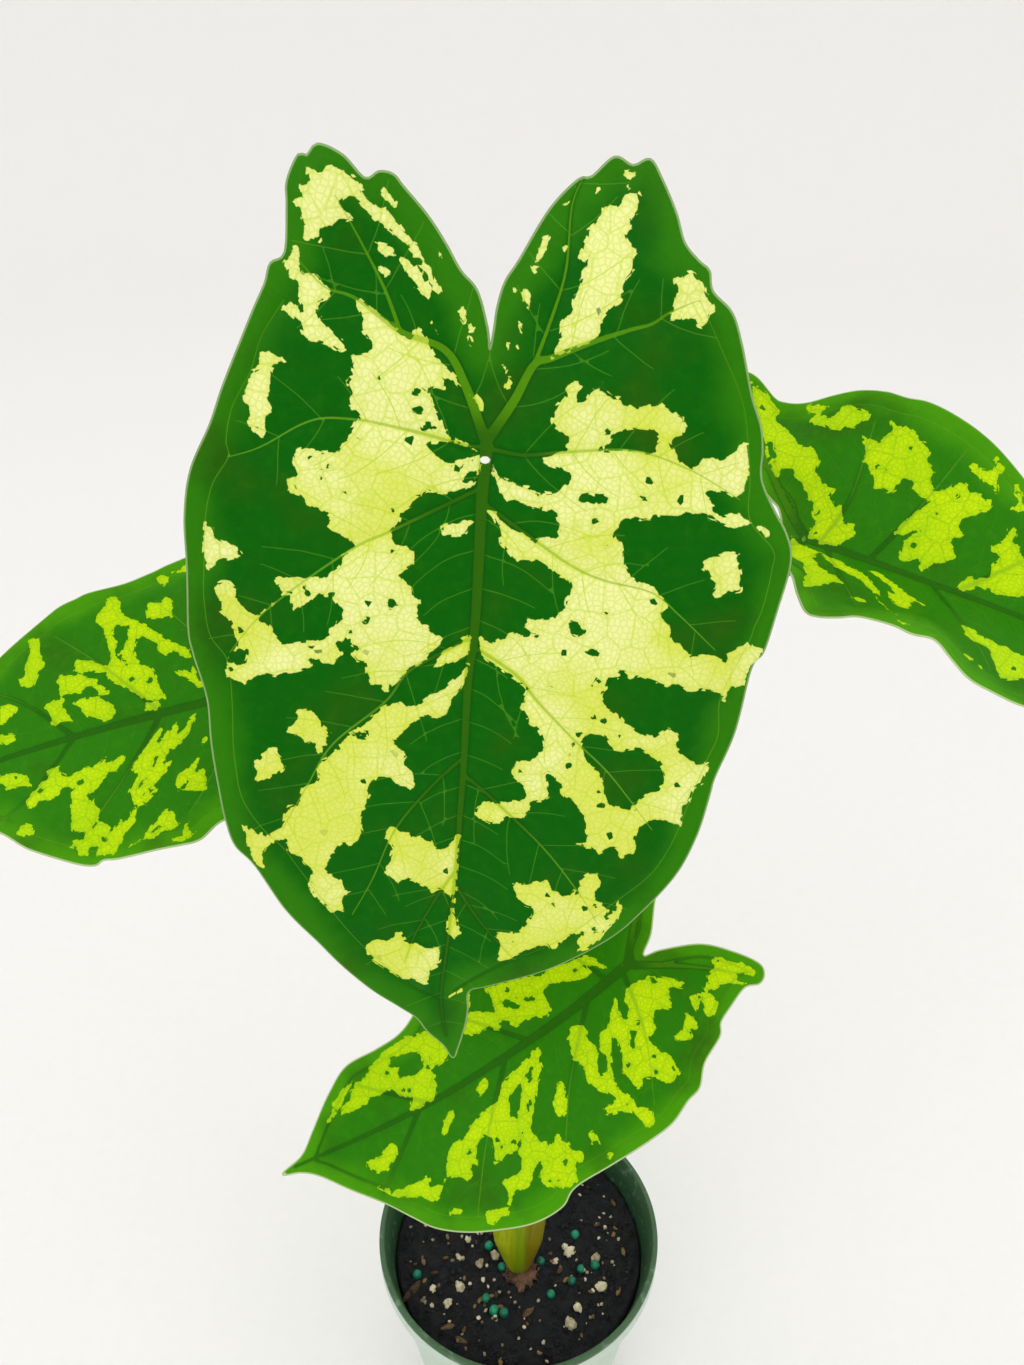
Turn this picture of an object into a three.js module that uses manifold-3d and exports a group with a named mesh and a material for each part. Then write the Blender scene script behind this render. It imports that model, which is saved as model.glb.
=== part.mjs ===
// Potted caladium with four heart-shaped camouflage leaves, in millimetres, +Z up.
// The origin is the middle of the pot's flat base. The front of the plant faces -Y.
import * as THREE from 'three';
import { mergeVertices } from 'three/addons/utils/BufferGeometryUtils.js';
import Module from 'manifold-3d';

const wasm = await Module();
wasm.setup();

// Pot: a thin thermoformed nursery pot, 108 mm across its rim.
const RIM_RADIUS = 54;
const RIM_HEIGHT = 8;
const POT_HEIGHT = 95;
const BASE_RADIUS = 38;
const WALL = 1.5;
const FLOOR = 2.2;
const NECK_RADIUS = 50.4;
const DRAIN_RADIUS = 4.5;
const DRAIN_CIRCLE = 30;
const DRAIN_COUNT = 6;
const POT_SIDES = 40;

// Clearance between neighbouring pieces.
const GAP = 0.35;

// Soil: filled to 13 mm below the rim, with a rough top.
const SOIL_TOP = 82;
const SOIL_ROUGHNESS = 1.1;
const SOIL_SIDES = 36;
const GRAIN_COUNT = 30;

// Plant base: where the leaf stalks leave the corm.
const STALK_FOOT = 76;
const CORM_CENTRE = [0.6, -10, 74.5];
const CORM_RADII = [9.5, 9.5, 9.5];

// Blades.
const BLADE_THICKNESS = 0.8;
const FOLD_ROUNDING = 3;
const RINGS_FRONT = [0.17, 0.36, 0.54, 0.71, 0.87, 1];
const RINGS_SMALL = [0.22, 0.46, 0.68, 0.87, 1];
const STUB_LENGTH = 3.5;

// Each outline runs round the blade from the notch between the lobes, as [across, along] from
// the point where the stalk joins. Along grows to the tip; the lobes are behind the joint.
const FRONT_OUTLINE = [
  [-0.6, -18.7], [-1.3, -22.5], [-3.6, -29], [-7, -32.5], [-10, -37], [-13.5, -41.5], [-18, -46], [-20, -48],
  [-22.5, -48.3], [-25, -47], [-29, -50.5], [-33.5, -52], [-35.4, -50], [-37, -50], [-39, -45.5], [-39, -41.5],
  [-39.4, -33.5], [-42, -31.5], [-43, -28], [-45, -23.5], [-47.5, -17.5], [-51, -9], [-53.5, -2], [-57.5, 7],
  [-59, 16], [-59.2, 26], [-60, 40], [-59, 46], [-56, 55], [-55, 64], [-53.5, 74], [-52.5, 83],
  [-51, 90], [-47, 95.5], [-40.5, 107.5], [-33, 117], [-27.5, 124], [-20.5, 131.5], [-14, 137], [-9.5, 141],
  [-6.8, 145.5], [-2.6, 150.5], [0, 155], [1.2, 151], [2.5, 144], [3, 138.5], [3, 132.5], [7.5, 130],
  [19, 124], [27, 118.5], [35.5, 111], [41, 104], [48, 92.5], [51.5, 82], [53.5, 71], [54, 68],
  [57, 57], [57.7, 41], [59.6, 36.5], [60.6, 26], [61.5, 16.5], [60, 11.5], [57, 7], [54, 1.5],
  [53.5, -4], [52.5, -8.5], [50, -14], [47, -23], [44.5, -28.5], [40.5, -32], [39.5, -35.5], [37.5, -37],
  [34.5, -40], [32.5, -45], [29.5, -50.5], [27, -53.8], [24, -52.6], [20.5, -53.8], [16.5, -50.2], [14, -49.5],
  [9, -44], [4, -35], [1.6, -31], [0.4, -26.5], [0, -22.5],
];
const LEFT_OUTLINE = [
  [0, -10], [-1.6, -14], [-5, -22], [-11, -29.5], [-18, -33.5], [-25, -32.5], [-31, -29], [-37, -23],
  [-42, -14], [-46, -5], [-49, 4], [-50, 12], [-49, 20.5], [-46.5, 26.5], [-43.5, 33.5], [-41.5, 43.5],
  [-40.5, 47], [-39.5, 53.5], [-36, 62], [-30.5, 71.5], [-25, 79], [-18, 88], [-10, 96.5], [-4, 102],
  [0, 110], [3, 103], [9, 95], [16, 85], [22.5, 75.5], [30, 68], [36.5, 58], [39, 52.5],
  [38.5, 50], [40, 45.5], [41.5, 37], [42.5, 29], [42, 24], [38, 18.5], [36.5, 10], [36, 2],
  [34, -7], [31.5, -14], [28, -22], [23, -29], [17, -31.5], [11, -29], [6, -21], [1.8, -13],
];
const RIGHT_OUTLINE = [
  [0, -7.5], [-2, -14], [-6, -23], [-11, -27], [-16, -24], [-18, -16], [-18, -7], [-19, 0],
  [-30, 5], [-36.5, 8.5], [-37, 11.5], [-35, 15.5], [-33, 19.5], [-35, 26], [-36.5, 31], [-34.5, 36],
  [-36.5, 40.5], [-39, 46], [-38, 52], [-36, 58.5], [-31, 68], [-24, 78], [-15, 87], [-6, 94],
  [0, 102], [3, 95], [9, 85], [16, 73], [23, 61], [29, 50], [35, 37.5], [39, 26],
  [40.5, 13], [40.5, 7], [41.5, 1], [41, -5], [39, -11], [37, -16.5], [36, -22], [36, -25.5],
  [39, -32.5], [39.5, -36], [38, -40], [34, -43.5], [29, -43.8], [24, -39], [18, -30.5], [12.8, -22],
  [9.4, -16.5], [7.4, -13.2], [5.4, -10],
];
const LOWER_OUTLINE = [
  [0, -6], [-4.5, -11.5], [-12.5, -18], [-18.5, -24.5], [-25, -28], [-31, -24], [-36, -13], [-39, 0],
  [-40, 12], [-39.5, 25], [-37, 38], [-31.5, 49], [-25, 58], [-20, 66], [-17.8, 72], [-17.6, 80],
  [-18.2, 91], [-14, 99], [-6.5, 108.5], [-2.2, 114.5], [-0.6, 122.5], [1.8, 117], [5.5, 112], [14, 104.5],
  [22, 97], [29, 91.5], [35, 86.5], [40.5, 78.5], [44.5, 69.5], [47.5, 60], [48, 51.5], [45.6, 46],
  [45.4, 34], [45.2, 20], [44.6, 12], [42, 5], [40.6, 0], [35.5, -5], [31.5, -13], [28.3, -15.5],
  [26, -20.5], [23.5, -27.5], [24.8, -32], [23, -35], [19.5, -35.2], [13, -30.5], [6, -23], [1.4, -11.5],
];

// A wave is [along, across, reach, height]: a smooth rise or dip of the blade round one place.
// A vein is a list of [along, across] points with its radius at the start.
const LEAVES = {
  front: {
    joint: [-7.4, -42, 421],
    tip: [-17.6, -63, 268],
    facing: [0, -1, 0.1],
    fold: [9, 9],
    curl: -0.12,
    lobeBend: -0.15,
    bow: 1.5,
    arch: 3,
    waves: [[40, -60, 14, -3], [75, -56, 14, 3], [20, 62, 14, 3], [60, 56, 14, -3], [-50, -30, 12, 3],
      [-50, 22, 12, -2]],
    outline: FRONT_OUTLINE,
    rings: RINGS_FRONT,
    spokeStep: 11,
    veins: [
      { radius: 1.25, path: [[0, 0], [40, -0.5], [82, -1.5], [119, -2], [146, -0.6]] },
      { radius: 0.95, path: [[0, 0], [-14, -8], [-27, -26], [-36, -36]] },
      { radius: 0.95, path: [[0, 0], [-16, 6], [-24, 18], [-31, 36]] },
      { radius: 0.85, path: [[1, -1], [-7, -20], [-2, -42], [3, -53]] },
      { radius: 0.85, path: [[1, 1], [0, 18], [-1, 36], [2, 50]] },
      { radius: 0.85, path: [[9, -1], [22, -24], [38, -44], [46, -53]] },
      { radius: 0.85, path: [[12, 0], [26, 24], [32, 42], [44, 53]] },
      { radius: 0.75, path: [[42, -1], [54, -20], [72, -37], [84, -46]] },
      { radius: 0.75, path: [[46, 0], [58, 18], [76, 34], [88, 44]] },
      { radius: 0.6, path: [[78, -1.5], [88, -16], [106, -31]] },
      { radius: 0.6, path: [[80, -1.5], [94, 14], [110, 30]] },
    ],
  },
  left: {
    joint: [-71, 10, 334],
    tip: [-167, -12, 314],
    facing: [0, -0.515, 0.857],
    fold: [6, 6],
    curl: -0.1,
    lobeBend: -0.2,
    bow: 1.5,
    arch: 5,
    waves: [[20, -46, 10, -3], [47, -44, 10, 3], [30, 40, 10, 3], [55, 38, 9, -3]],
    outline: LEFT_OUTLINE,
    rings: RINGS_SMALL,
    spokeStep: 12,
    veins: [
      { radius: 1.0, path: [[0, 0], [30, 0.5], [62, 0.5], [100, 0]] },
      { radius: 0.75, path: [[0, 0], [-9, -9], [-17, -18], [-22, -27]] },
      { radius: 0.75, path: [[0, 0], [-9, 8], [-16, 17], [-22, 23]] },
      { radius: 0.7, path: [[5, -0.5], [12, -22], [24, -40]] },
      { radius: 0.7, path: [[5, 0.5], [12, 20], [24, 36]] },
      { radius: 0.65, path: [[30, 0], [42, -17], [55, -32]] },
      { radius: 0.65, path: [[30, 1], [42, 18], [55, 32]] },
    ],
  },
  right: {
    joint: [74, 8, 380],
    tip: [160, -34, 356],
    facing: [0, -0.42, 0.91],
    fold: [25, 25],
    curl: -0.06,
    lobeBend: -0.1,
    bow: 1,
    arch: 4,
    waves: [[31, -33, 11, 5.5], [60, -34, 11, -3], [-20, 33, 10, -4], [12, 44, 13, 3], [45, 33, 10, -2]],
    outline: RIGHT_OUTLINE,
    rings: RINGS_SMALL,
    spokeStep: 12,
    veins: [
      { radius: 1.0, path: [[0, 0], [30, -1], [60, 0], [92, 0]] },
      { radius: 0.75, path: [[0, 0], [-12, 10], [-24, 22], [-34, 33]] },
      { radius: 0.65, path: [[0, 0], [-6, -7], [-13, -11], [-19, -12]] },
      { radius: 0.7, path: [[3, 0.5], [5, 14], [0, 32]] },
      { radius: 0.7, path: [[5, -0.5], [13, -16], [18, -27]] },
      { radius: 0.65, path: [[18, 0], [20, 18], [22, 34]] },
      { radius: 0.65, path: [[32, -1], [42, -16], [50, -30]] },
      { radius: 0.6, path: [[42, 0], [52, 14], [56, 22]] },
    ],
  },
  lower: {
    joint: [33, -10, 246],
    tip: [-70, -46, 196],
    facing: [0, -0.6, 0.8],
    fold: [-4, 5],
    curl: -0.1,
    lobeBend: -0.2,
    bow: 5,
    arch: 4,
    waves: [[3, 42, 9, -3], [22, 46, 10, 3], [45, 46, 9, -3], [60, 48, 9, 2], [92, -15, 10, -2]],
    outline: LOWER_OUTLINE,
    rings: RINGS_SMALL,
    spokeStep: 12,
    veins: [
      { radius: 1.1, path: [[0, 0], [28, 3.5], [64, 4.6], [90, 3], [112, -0.5]] },
      { radius: 0.75, path: [[0, 0], [-8, -9], [-16, -17], [-20, -24]] },
      { radius: 0.75, path: [[0, 0], [-12, 7], [-22, 14], [-28, 19]] },
      { radius: 0.7, path: [[2, 1], [6, 20], [14, 37]] },
      { radius: 0.7, path: [[8, -0.5], [18, -20], [30, -33]] },
      { radius: 0.7, path: [[16, 3], [32, 20], [46, 38]] },
      { radius: 0.65, path: [[38, 3], [50, -10], [60, -20]] },
      { radius: 0.65, path: [[46, 5], [62, 22], [74, 36]] },
    ],
  },
};

// Each stalk is [x, y, z, radius] up its middle. Broad sheathing foot, slim top.
const STALKS = {
  front: [[-0.9, -6.6, 76, 1.3], [-1.3, -6.3, 82, 1.45], [-2.3, -4.2, 92, 2.3], [-3.3, -1.4, 104, 3.1],
    [-4, 6, 130, 2.9], [-4.5, 17, 190, 2.7], [-5.5, 25, 255, 2.5], [-6.4, 23, 320, 2.3], [-7.2, 7, 380, 2.1],
    [-7.5, -16, 412, 1.9]],
  left: [[-0.9, -9.9, 76, 1.3], [-1.3, -10.1, 82, 1.45], [-2.9, -9.9, 92, 2.85], [-4.5, -9.5, 104, 4.3],
    [-8.5, -3, 128, 3.6], [-15, 14, 180, 2.8], [-27, 28, 245, 2.5], [-46, 31, 295, 2.2], [-62, 24, 322, 1.9]],
  right: [[2.3, -6.6, 76, 1.3], [2.0, -6.3, 82, 1.45], [3.1, -4.2, 92, 2.3], [4.3, -1.4, 104, 3.1],
    [8, 6, 130, 2.9], [16, 22, 190, 2.7], [33, 33, 260, 2.4], [52, 31, 320, 2.1], [66, 20, 358, 1.9]],
  lower: [[2.3, -9.9, 76, 1.3], [2.0, -10.1, 82, 1.45], [3.4, -9.9, 92, 2.85], [4.9, -9.5, 104, 4.3],
    [8.5, -5.5, 126, 3.5], [14, 3, 165, 2.7], [22, 6, 205, 2.3], [28, 2, 228, 1.9]],
};
const STALK_SIDES = 8;
const STALK_STEPS = 19;

// Loose pieces seen on the soil: [x, y, radius].
const PERLITE = [[-33, -17, 1.6], [-22, -17, 2.1], [-27, -23, 1.8], [-9, -5.5, 1.9], [18, -1, 1.5], [20, -3, 2.1],
  [30, -6, 2.0], [32, -16, 2.2], [19, -30, 2.1], [22, -25, 1.8], [-20, 2, 1.4], [-15.5, -8, 1.8], [-23, -5, 1.3],
  [14, -7.5, 1.2]];
const PRILLS = [[-39, -11], [-12.5, 0], [-15, -15], [10, -8], [-13, -21], [-9, -25], [-4.5, -26.5], [13, -19],
  [22, 4], [24, -10], [20, -14], [30, -11]];
const PRILL_RADIUS = 1.8;
const BARK = [[-40, -17, 5.5, 0.9], [-26, -31, 3.2, 0.3], [-22, -36, 3, -0.4], [4, -29, 3.4, 0.7]];

const rgb = (hex) => new THREE.Color(hex);
const vec = (p) => new THREE.Vector3(p[0], p[1], p[2]);

// A repeatable random number source.
function seeded(seed) {
  let state = seed;
  return () => {
    state = (state * 1664525 + 1013904223) % 4294967296;
    return state / 4294967296;
  };
}

function toSolid(geometry) {
  const bare = new THREE.BufferGeometry();
  bare.setAttribute('position', geometry.getAttribute('position').clone());
  if (geometry.index) bare.setIndex(geometry.index.clone());
  const merged = mergeVertices(bare, 1e-4);
  const mesh = new wasm.Mesh({
    numProp: 3,
    vertProperties: new Float32Array(merged.getAttribute('position').array),
    triVerts: new Uint32Array(merged.index.array),
  });
  return new wasm.Manifold(mesh);
}

function toGeometry(solid) {
  const mesh = solid.getMesh();
  const geometry = new THREE.BufferGeometry();
  geometry.setAttribute('position', new THREE.BufferAttribute(new Float32Array(mesh.vertProperties), 3));
  geometry.setIndex(new THREE.BufferAttribute(new Uint32Array(mesh.triVerts), 1));
  return geometry;
}

// The biggest body of a solid, without loose scraps.
function largest(solid) {
  return solid.decompose().sort((a, b) => b.volume() - a.volume())[0];
}

function fromLists(points, faces) {
  const geometry = new THREE.BufferGeometry();
  geometry.setAttribute('position', new THREE.Float32BufferAttribute(points.flat(), 3));
  geometry.setIndex(faces.flat());
  return geometry;
}

// A closed smooth curve through the outline, with whole steps between its points.
function sampleOutline(outline, step) {
  const count = outline.length;
  const samples = [];
  for (let i = 0; i < count; i += 1) {
    const [p0, p1, p2, p3] = [-1, 0, 1, 2].map((k) => outline[(i + k + count) % count]);
    const pieces = Math.max(1, Math.round(Math.hypot(p2[0] - p1[0], p2[1] - p1[1]) / step));
    for (let j = 0; j < pieces; j += 1) {
      const t = j / pieces;
      samples.push([0, 1].map((k) => 0.5 * (2 * p1[k] + (p2[k] - p0[k]) * t
        + (2 * p0[k] - 5 * p1[k] + 4 * p2[k] - p3[k]) * t * t
        + (3 * p1[k] - p0[k] - 3 * p2[k] + p3[k]) * t * t * t)));
    }
  }
  return samples;
}

// The blade's own frame: along the midrib, across it and out of its upper face.
function bladeFrame(leaf) {
  const joint = vec(leaf.joint);
  const along = vec(leaf.tip).sub(joint);
  const length = along.length();
  along.normalize();
  const normal = vec(leaf.facing);
  normal.addScaledVector(along, -normal.dot(along)).normalize();
  const across = new THREE.Vector3().crossVectors(normal, along);
  return { joint, along, across, normal, length };
}

// How far the midrib has bowed sideways at this distance along it.
function bowAt(leaf, length, along) {
  const part = along / length;
  return along > 0 ? leaf.bow * 4 * part * (1 - part) : 0;
}

// Height of the blade above its flat plane: arch, fold, rolled sides, bent lobes and waves.
function heightAt(leaf, length, along, across) {
  const part = along / length;
  const side = across - bowAt(leaf, length, along);
  const arch = leaf.arch * 4 * part * (1 - part) * (along > 0 ? 1 : 0.6);
  const slope = Math.tan(THREE.MathUtils.degToRad(side < 0 ? leaf.fold[0] : leaf.fold[1]));
  const fold = slope * (Math.sqrt(side * side + FOLD_ROUNDING ** 2) - FOLD_ROUNDING);
  const curl = leaf.curl * side * side / 100;
  const lobe = along < 0 ? leaf.lobeBend * along * along / 100 : 0;
  let wave = 0;
  for (const [a, b, reach, height] of leaf.waves) {
    wave += height * Math.exp(-((along - a) ** 2 + (across - b) ** 2) / reach ** 2);
  }
  return arch + fold + curl + lobe + wave;
}

function surfacePoint(leaf, frame, along, across, lift) {
  const height = heightAt(leaf, frame.length, along, across) + lift;
  return frame.joint.clone()
    .addScaledVector(frame.along, along)
    .addScaledVector(frame.across, across)
    .addScaledVector(frame.normal, height);
}

// A closed blade of even thickness. Rings of points run out from the joint to the edge, and both
// faces are split into the same triangles.
function bladeSolid(leaf, frame) {
  const edge = sampleOutline(leaf.outline, leaf.spokeStep)
    .map(([across, along]) => [across - bowAt(leaf, frame.length, along), along]);
  const flat = [[0, 0]];
  for (const ring of leaf.rings) {
    for (const [side, along] of edge) {
      flat.push([side * ring + bowAt(leaf, frame.length, along * ring), along * ring]);
    }
  }
  const spokes = edge.length;
  const faces = [];
  const at = (ring, spoke) => 1 + ring * spokes + (spoke % spokes);
  for (let s = 0; s < spokes; s += 1) {
    faces.push([0, at(0, s), at(0, s + 1)]);
    for (let r = 0; r + 1 < leaf.rings.length; r += 1) {
      faces.push([at(r, s), at(r + 1, s), at(r + 1, s + 1)]);
      faces.push([at(r, s), at(r + 1, s + 1), at(r, s + 1)]);
    }
  }
  const half = BLADE_THICKNESS / 2;
  const upper = flat.map(([across, along]) => surfacePoint(leaf, frame, along, across, half).toArray());
  const under = flat.map(([across, along]) => surfacePoint(leaf, frame, along, across, -half).toArray());
  const total = flat.length;
  const all = [];
  for (const [a, b, c] of faces) {
    all.push([a, b, c], [total + a, total + c, total + b]);
  }
  const last = leaf.rings.length - 1;
  for (let s = 0; s < spokes; s += 1) {
    const [a, b] = [at(last, s), at(last, s + 1)];
    all.push([a, total + a, total + b], [a, total + b, b]);
  }
  const solid = toSolid(fromLists([...upper, ...under], all));
  return solid;
}

// A closed round rod through the given middles and radii.
function rod(middles, radii, sides) {
  const points = [];
  const faces = [];
  const count = middles.length;
  let reference = new THREE.Vector3(0.31, 0.87, 0.38);
  for (let i = 0; i < count; i += 1) {
    const before = middles[Math.max(0, i - 1)];
    const after = middles[Math.min(count - 1, i + 1)];
    const heading = after.clone().sub(before).normalize();
    const sideways = reference.clone().addScaledVector(heading, -reference.dot(heading)).normalize();
    const other = new THREE.Vector3().crossVectors(heading, sideways);
    reference = sideways;
    for (let k = 0; k < sides; k += 1) {
      const angle = 2 * Math.PI * k / sides;
      points.push(middles[i].clone()
        .addScaledVector(sideways, radii[i] * Math.cos(angle))
        .addScaledVector(other, radii[i] * Math.sin(angle)).toArray());
    }
  }
  points.push(middles[0].toArray(), middles[count - 1].toArray());
  const first = count * sides;
  for (let k = 0; k < sides; k += 1) {
    const next = (k + 1) % sides;
    for (let i = 0; i + 1 < count; i += 1) {
      const [a, b] = [i * sides + k, i * sides + next];
      faces.push([a, b, b + sides], [a, b + sides, a + sides]);
    }
    faces.push([first, next, k]);
    faces.push([first + 1, (count - 1) * sides + k, (count - 1) * sides + next]);
  }
  return fromLists(points, faces);
}

// Raised ribs under the blade, half sunk in it and thinner outward.
function veinSolid(leaf, frame, vein) {
  const curve = new THREE.CatmullRomCurve3(vein.path.map(([along, across]) => new THREE.Vector3(along, across, 0)));
  const steps = Math.max(4, Math.round(curve.getLength() / 13));
  const middles = [];
  const radii = [];
  for (let i = 0; i <= steps; i += 1) {
    const place = curve.getPointAt(i / steps);
    const radius = vein.radius * (1 - 0.62 * i / steps);
    middles.push(surfacePoint(leaf, frame, place.x, place.y, -BLADE_THICKNESS / 2 - 0.35 * radius));
    radii.push(radius);
  }
  return toSolid(rod(middles, radii, 4));
}

// Where a stalk reaches its blade, and the way it points there.
function stalkEnd(name) {
  const leaf = LEAVES[name];
  const frame = bladeFrame(leaf);
  const under = surfacePoint(leaf, frame, 0, 0, -BLADE_THICKNESS / 2);
  const last = STALKS[name][STALKS[name].length - 1];
  const heading = under.clone().sub(vec(last)).normalize();
  heading.addScaledVector(frame.normal, 0.9).normalize();
  return { under, heading };
}

function blade(name) {
  const leaf = LEAVES[name];
  const frame = bladeFrame(leaf);
  let solid = bladeSolid(leaf, frame);
  for (const vein of leaf.veins) {
    solid = solid.add(veinSolid(leaf, frame, vein));
  }
  const { under, heading } = stalkEnd(name);
  const foot = under.clone().addScaledVector(heading, -STUB_LENGTH);
  const middle = under.clone().addScaledVector(heading, -STUB_LENGTH / 2);
  const stub = rod([foot, middle, under], [1.9, 1.9, 1.5], STALK_SIDES);
  return toGeometry(solid.add(toSolid(stub)));
}

function stalk(name) {
  const { under, heading } = stalkEnd(name);
  const end = under.clone().addScaledVector(heading, -STUB_LENGTH - GAP);
  const before = under.clone().addScaledVector(heading, -STUB_LENGTH - GAP - 6);
  const knots = STALKS[name].map(([x, y, z]) => new THREE.Vector3(x, y, z)).concat([before, end]);
  const sizes = STALKS[name].map((knot) => knot[3]).concat([1.9, 1.9]);
  const curve = new THREE.CatmullRomCurve3(knots, false, 'centripetal');
  const middles = [];
  const radii = [];
  for (let i = 0; i <= STALK_STEPS; i += 1) {
    const t = (i / STALK_STEPS) * (knots.length - 1);
    const whole = Math.min(Math.floor(t), knots.length - 2);
    middles.push(curve.getPoint(i / STALK_STEPS));
    radii.push(THREE.MathUtils.lerp(sizes[whole], sizes[whole + 1], t - whole));
  }
  return rod(middles, radii, STALK_SIDES);
}

function spin(profile, sides) {
  const geometry = new THREE.LatheGeometry(profile.map(([r, z]) => new THREE.Vector2(r, z)), sides);
  geometry.rotateX(Math.PI / 2);
  return geometry;
}

function pot() {
  const rimFoot = POT_HEIGHT - RIM_HEIGHT;
  const shell = toSolid(spin([
    [0, 0], [BASE_RADIUS - 1, 0], [BASE_RADIUS, 1], [NECK_RADIUS, rimFoot - 0.5],
    [RIM_RADIUS - 0.6, rimFoot], [RIM_RADIUS, rimFoot + 1], [RIM_RADIUS, POT_HEIGHT - 1.2],
    [RIM_RADIUS - 0.8, POT_HEIGHT], [RIM_RADIUS - 2.4, POT_HEIGHT], [RIM_RADIUS - 3.1, POT_HEIGHT - 1],
    [NECK_RADIUS - WALL, rimFoot - 4], [BASE_RADIUS - WALL + 0.2, FLOOR], [0, FLOOR],
  ], POT_SIDES));
  let cut = shell;
  for (let i = 0; i < DRAIN_COUNT; i += 1) {
    const angle = 2 * Math.PI * (i + 0.5) / DRAIN_COUNT;
    const drill = new THREE.CylinderGeometry(DRAIN_RADIUS, DRAIN_RADIUS, 12, 20);
    drill.rotateX(Math.PI / 2);
    drill.translate(DRAIN_CIRCLE * Math.cos(angle), DRAIN_CIRCLE * Math.sin(angle), 0);
    cut = cut.subtract(toSolid(drill));
  }
  return toGeometry(cut);
}

// Gentle lumps of the soil's top, the same wherever they are asked for.
function soilHeight(x, y) {
  const lumps = 0.5 * Math.sin(0.31 * x + 1.3) * Math.cos(0.27 * y - 0.4)
    + 0.35 * Math.sin(0.83 * x - 0.5 * y) + 0.3 * Math.cos(0.71 * y + 0.62 * x + 2);
  const away = Math.hypot(x, y + 8);
  return SOIL_TOP + SOIL_ROUGHNESS * lumps + 1.2 * Math.exp(-((away / 16) ** 2));
}

function lump(x, y, size, stretch, random) {
  const grain = new THREE.IcosahedronGeometry(size, 0);
  grain.scale(stretch[0], stretch[1], stretch[2]);
  grain.rotateX(random() * 3);
  grain.rotateZ(random() * 6);
  grain.translate(x, y, soilHeight(x, y) + 0.25 * size);
  return toSolid(grain);
}

function cormShape(extra) {
  const geometry = new THREE.IcosahedronGeometry(1, 1);
  const position = geometry.getAttribute('position');
  for (let i = 0; i < position.count; i += 1) {
    const [x, y, z] = [position.getX(i), position.getY(i), position.getZ(i)];
    const rough = 1 + 0.06 * Math.sin(5 * x + 2 * z) * Math.cos(4 * y - z);
    position.setXYZ(i, x * (CORM_RADII[0] * rough + extra), y * (CORM_RADII[1] * rough + extra),
      z * (CORM_RADII[2] * rough + extra));
  }
  geometry.translate(...CORM_CENTRE);
  return toSolid(geometry);
}

function soil() {
  const slope = (NECK_RADIUS - BASE_RADIUS) / (POT_HEIGHT - RIM_HEIGHT - 4);
  const bottom = FLOOR + GAP;
  const radiusAt = (z) => BASE_RADIUS - WALL - GAP - 0.35 + slope * z;
  const radii = [7, 14, 21, 28, 35, 42, radiusAt(SOIL_TOP) - 1.5];
  const points = [[0, 0, soilHeight(0, 0)]];
  for (const radius of [...radii, 'edge', 'foot']) {
    for (let k = 0; k < SOIL_SIDES; k += 1) {
      const angle = 2 * Math.PI * k / SOIL_SIDES;
      const [c, s] = [Math.cos(angle), Math.sin(angle)];
      if (radius === 'edge') {
        const z = SOIL_TOP - 1.2;
        points.push([radiusAt(z) * c, radiusAt(z) * s, z]);
      } else if (radius === 'foot') {
        points.push([radiusAt(bottom) * c, radiusAt(bottom) * s, bottom]);
      } else {
        points.push([radius * c, radius * s, soilHeight(radius * c, radius * s)]);
      }
    }
  }
  points.push([0, 0, bottom]);
  const rings = radii.length + 2;
  const at = (ring, k) => 1 + ring * SOIL_SIDES + (k % SOIL_SIDES);
  const faces = [];
  for (let k = 0; k < SOIL_SIDES; k += 1) {
    faces.push([0, at(0, k), at(0, k + 1)]);
    for (let r = 0; r + 1 < rings; r += 1) {
      faces.push([at(r, k), at(r + 1, k), at(r + 1, k + 1)], [at(r, k), at(r + 1, k + 1), at(r, k + 1)]);
    }
    faces.push([points.length - 1, at(rings - 1, k + 1), at(rings - 1, k)]);
  }
  let solid = toSolid(fromLists(points, faces));
  const random = seeded(41);
  for (const [x, y, size] of PERLITE) {
    solid = solid.add(lump(x, y, size, [1, 1.25, 0.85], random));
  }
  for (const [x, y] of PRILLS) {
    solid = solid.add(lump(x, y, PRILL_RADIUS, [1, 1, 1], random));
  }
  for (const [x, y, length, turn] of BARK) {
    const sliver = new THREE.BoxGeometry(length * 1.6, 2.2, 1.6);
    sliver.rotateZ(turn);
    sliver.translate(x, y, soilHeight(x, y) + 0.4);
    solid = solid.add(toSolid(sliver));
  }
  for (let i = 0; i < GRAIN_COUNT; i += 1) {
    const angle = random() * 2 * Math.PI;
    const away = 16 + 27 * Math.sqrt(random());
    const stretch = [0.8 + 0.6 * random(), 0.8 + 0.5 * random(), 0.6 + 0.3 * random()];
    solid = solid.add(lump(away * Math.cos(angle), away * Math.sin(angle), 1.0 + 1.1 * random(), stretch, random));
  }
  return toGeometry(largest(solid.subtract(cormShape(GAP)).subtract(stalkHoles())));
}

// The room that the four stalk feet take in the corm and the soil.
function stalkHoles() {
  let holes = null;
  for (const knots of Object.values(STALKS)) {
    const foot = [knots[0][0], knots[0][1], STALK_FOOT - GAP, knots[0][3]];
    const lowest = [foot, ...knots.slice(1, 4)];
    const middles = lowest.map(vec);
    const radii = lowest.map((knot) => knot[3] + GAP + 0.1);
    const hole = toSolid(rod(middles, radii, STALK_SIDES));
    holes = holes ? holes.add(hole) : hole;
  }
  return holes;
}

// The old corm's fibrous crown, with a hole for the foot of each stalk.
function corm() {
  return toGeometry(largest(cormShape(0).subtract(stalkHoles())));
}

const group = new THREE.Group();
group.name = 'potted_caladium';

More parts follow.
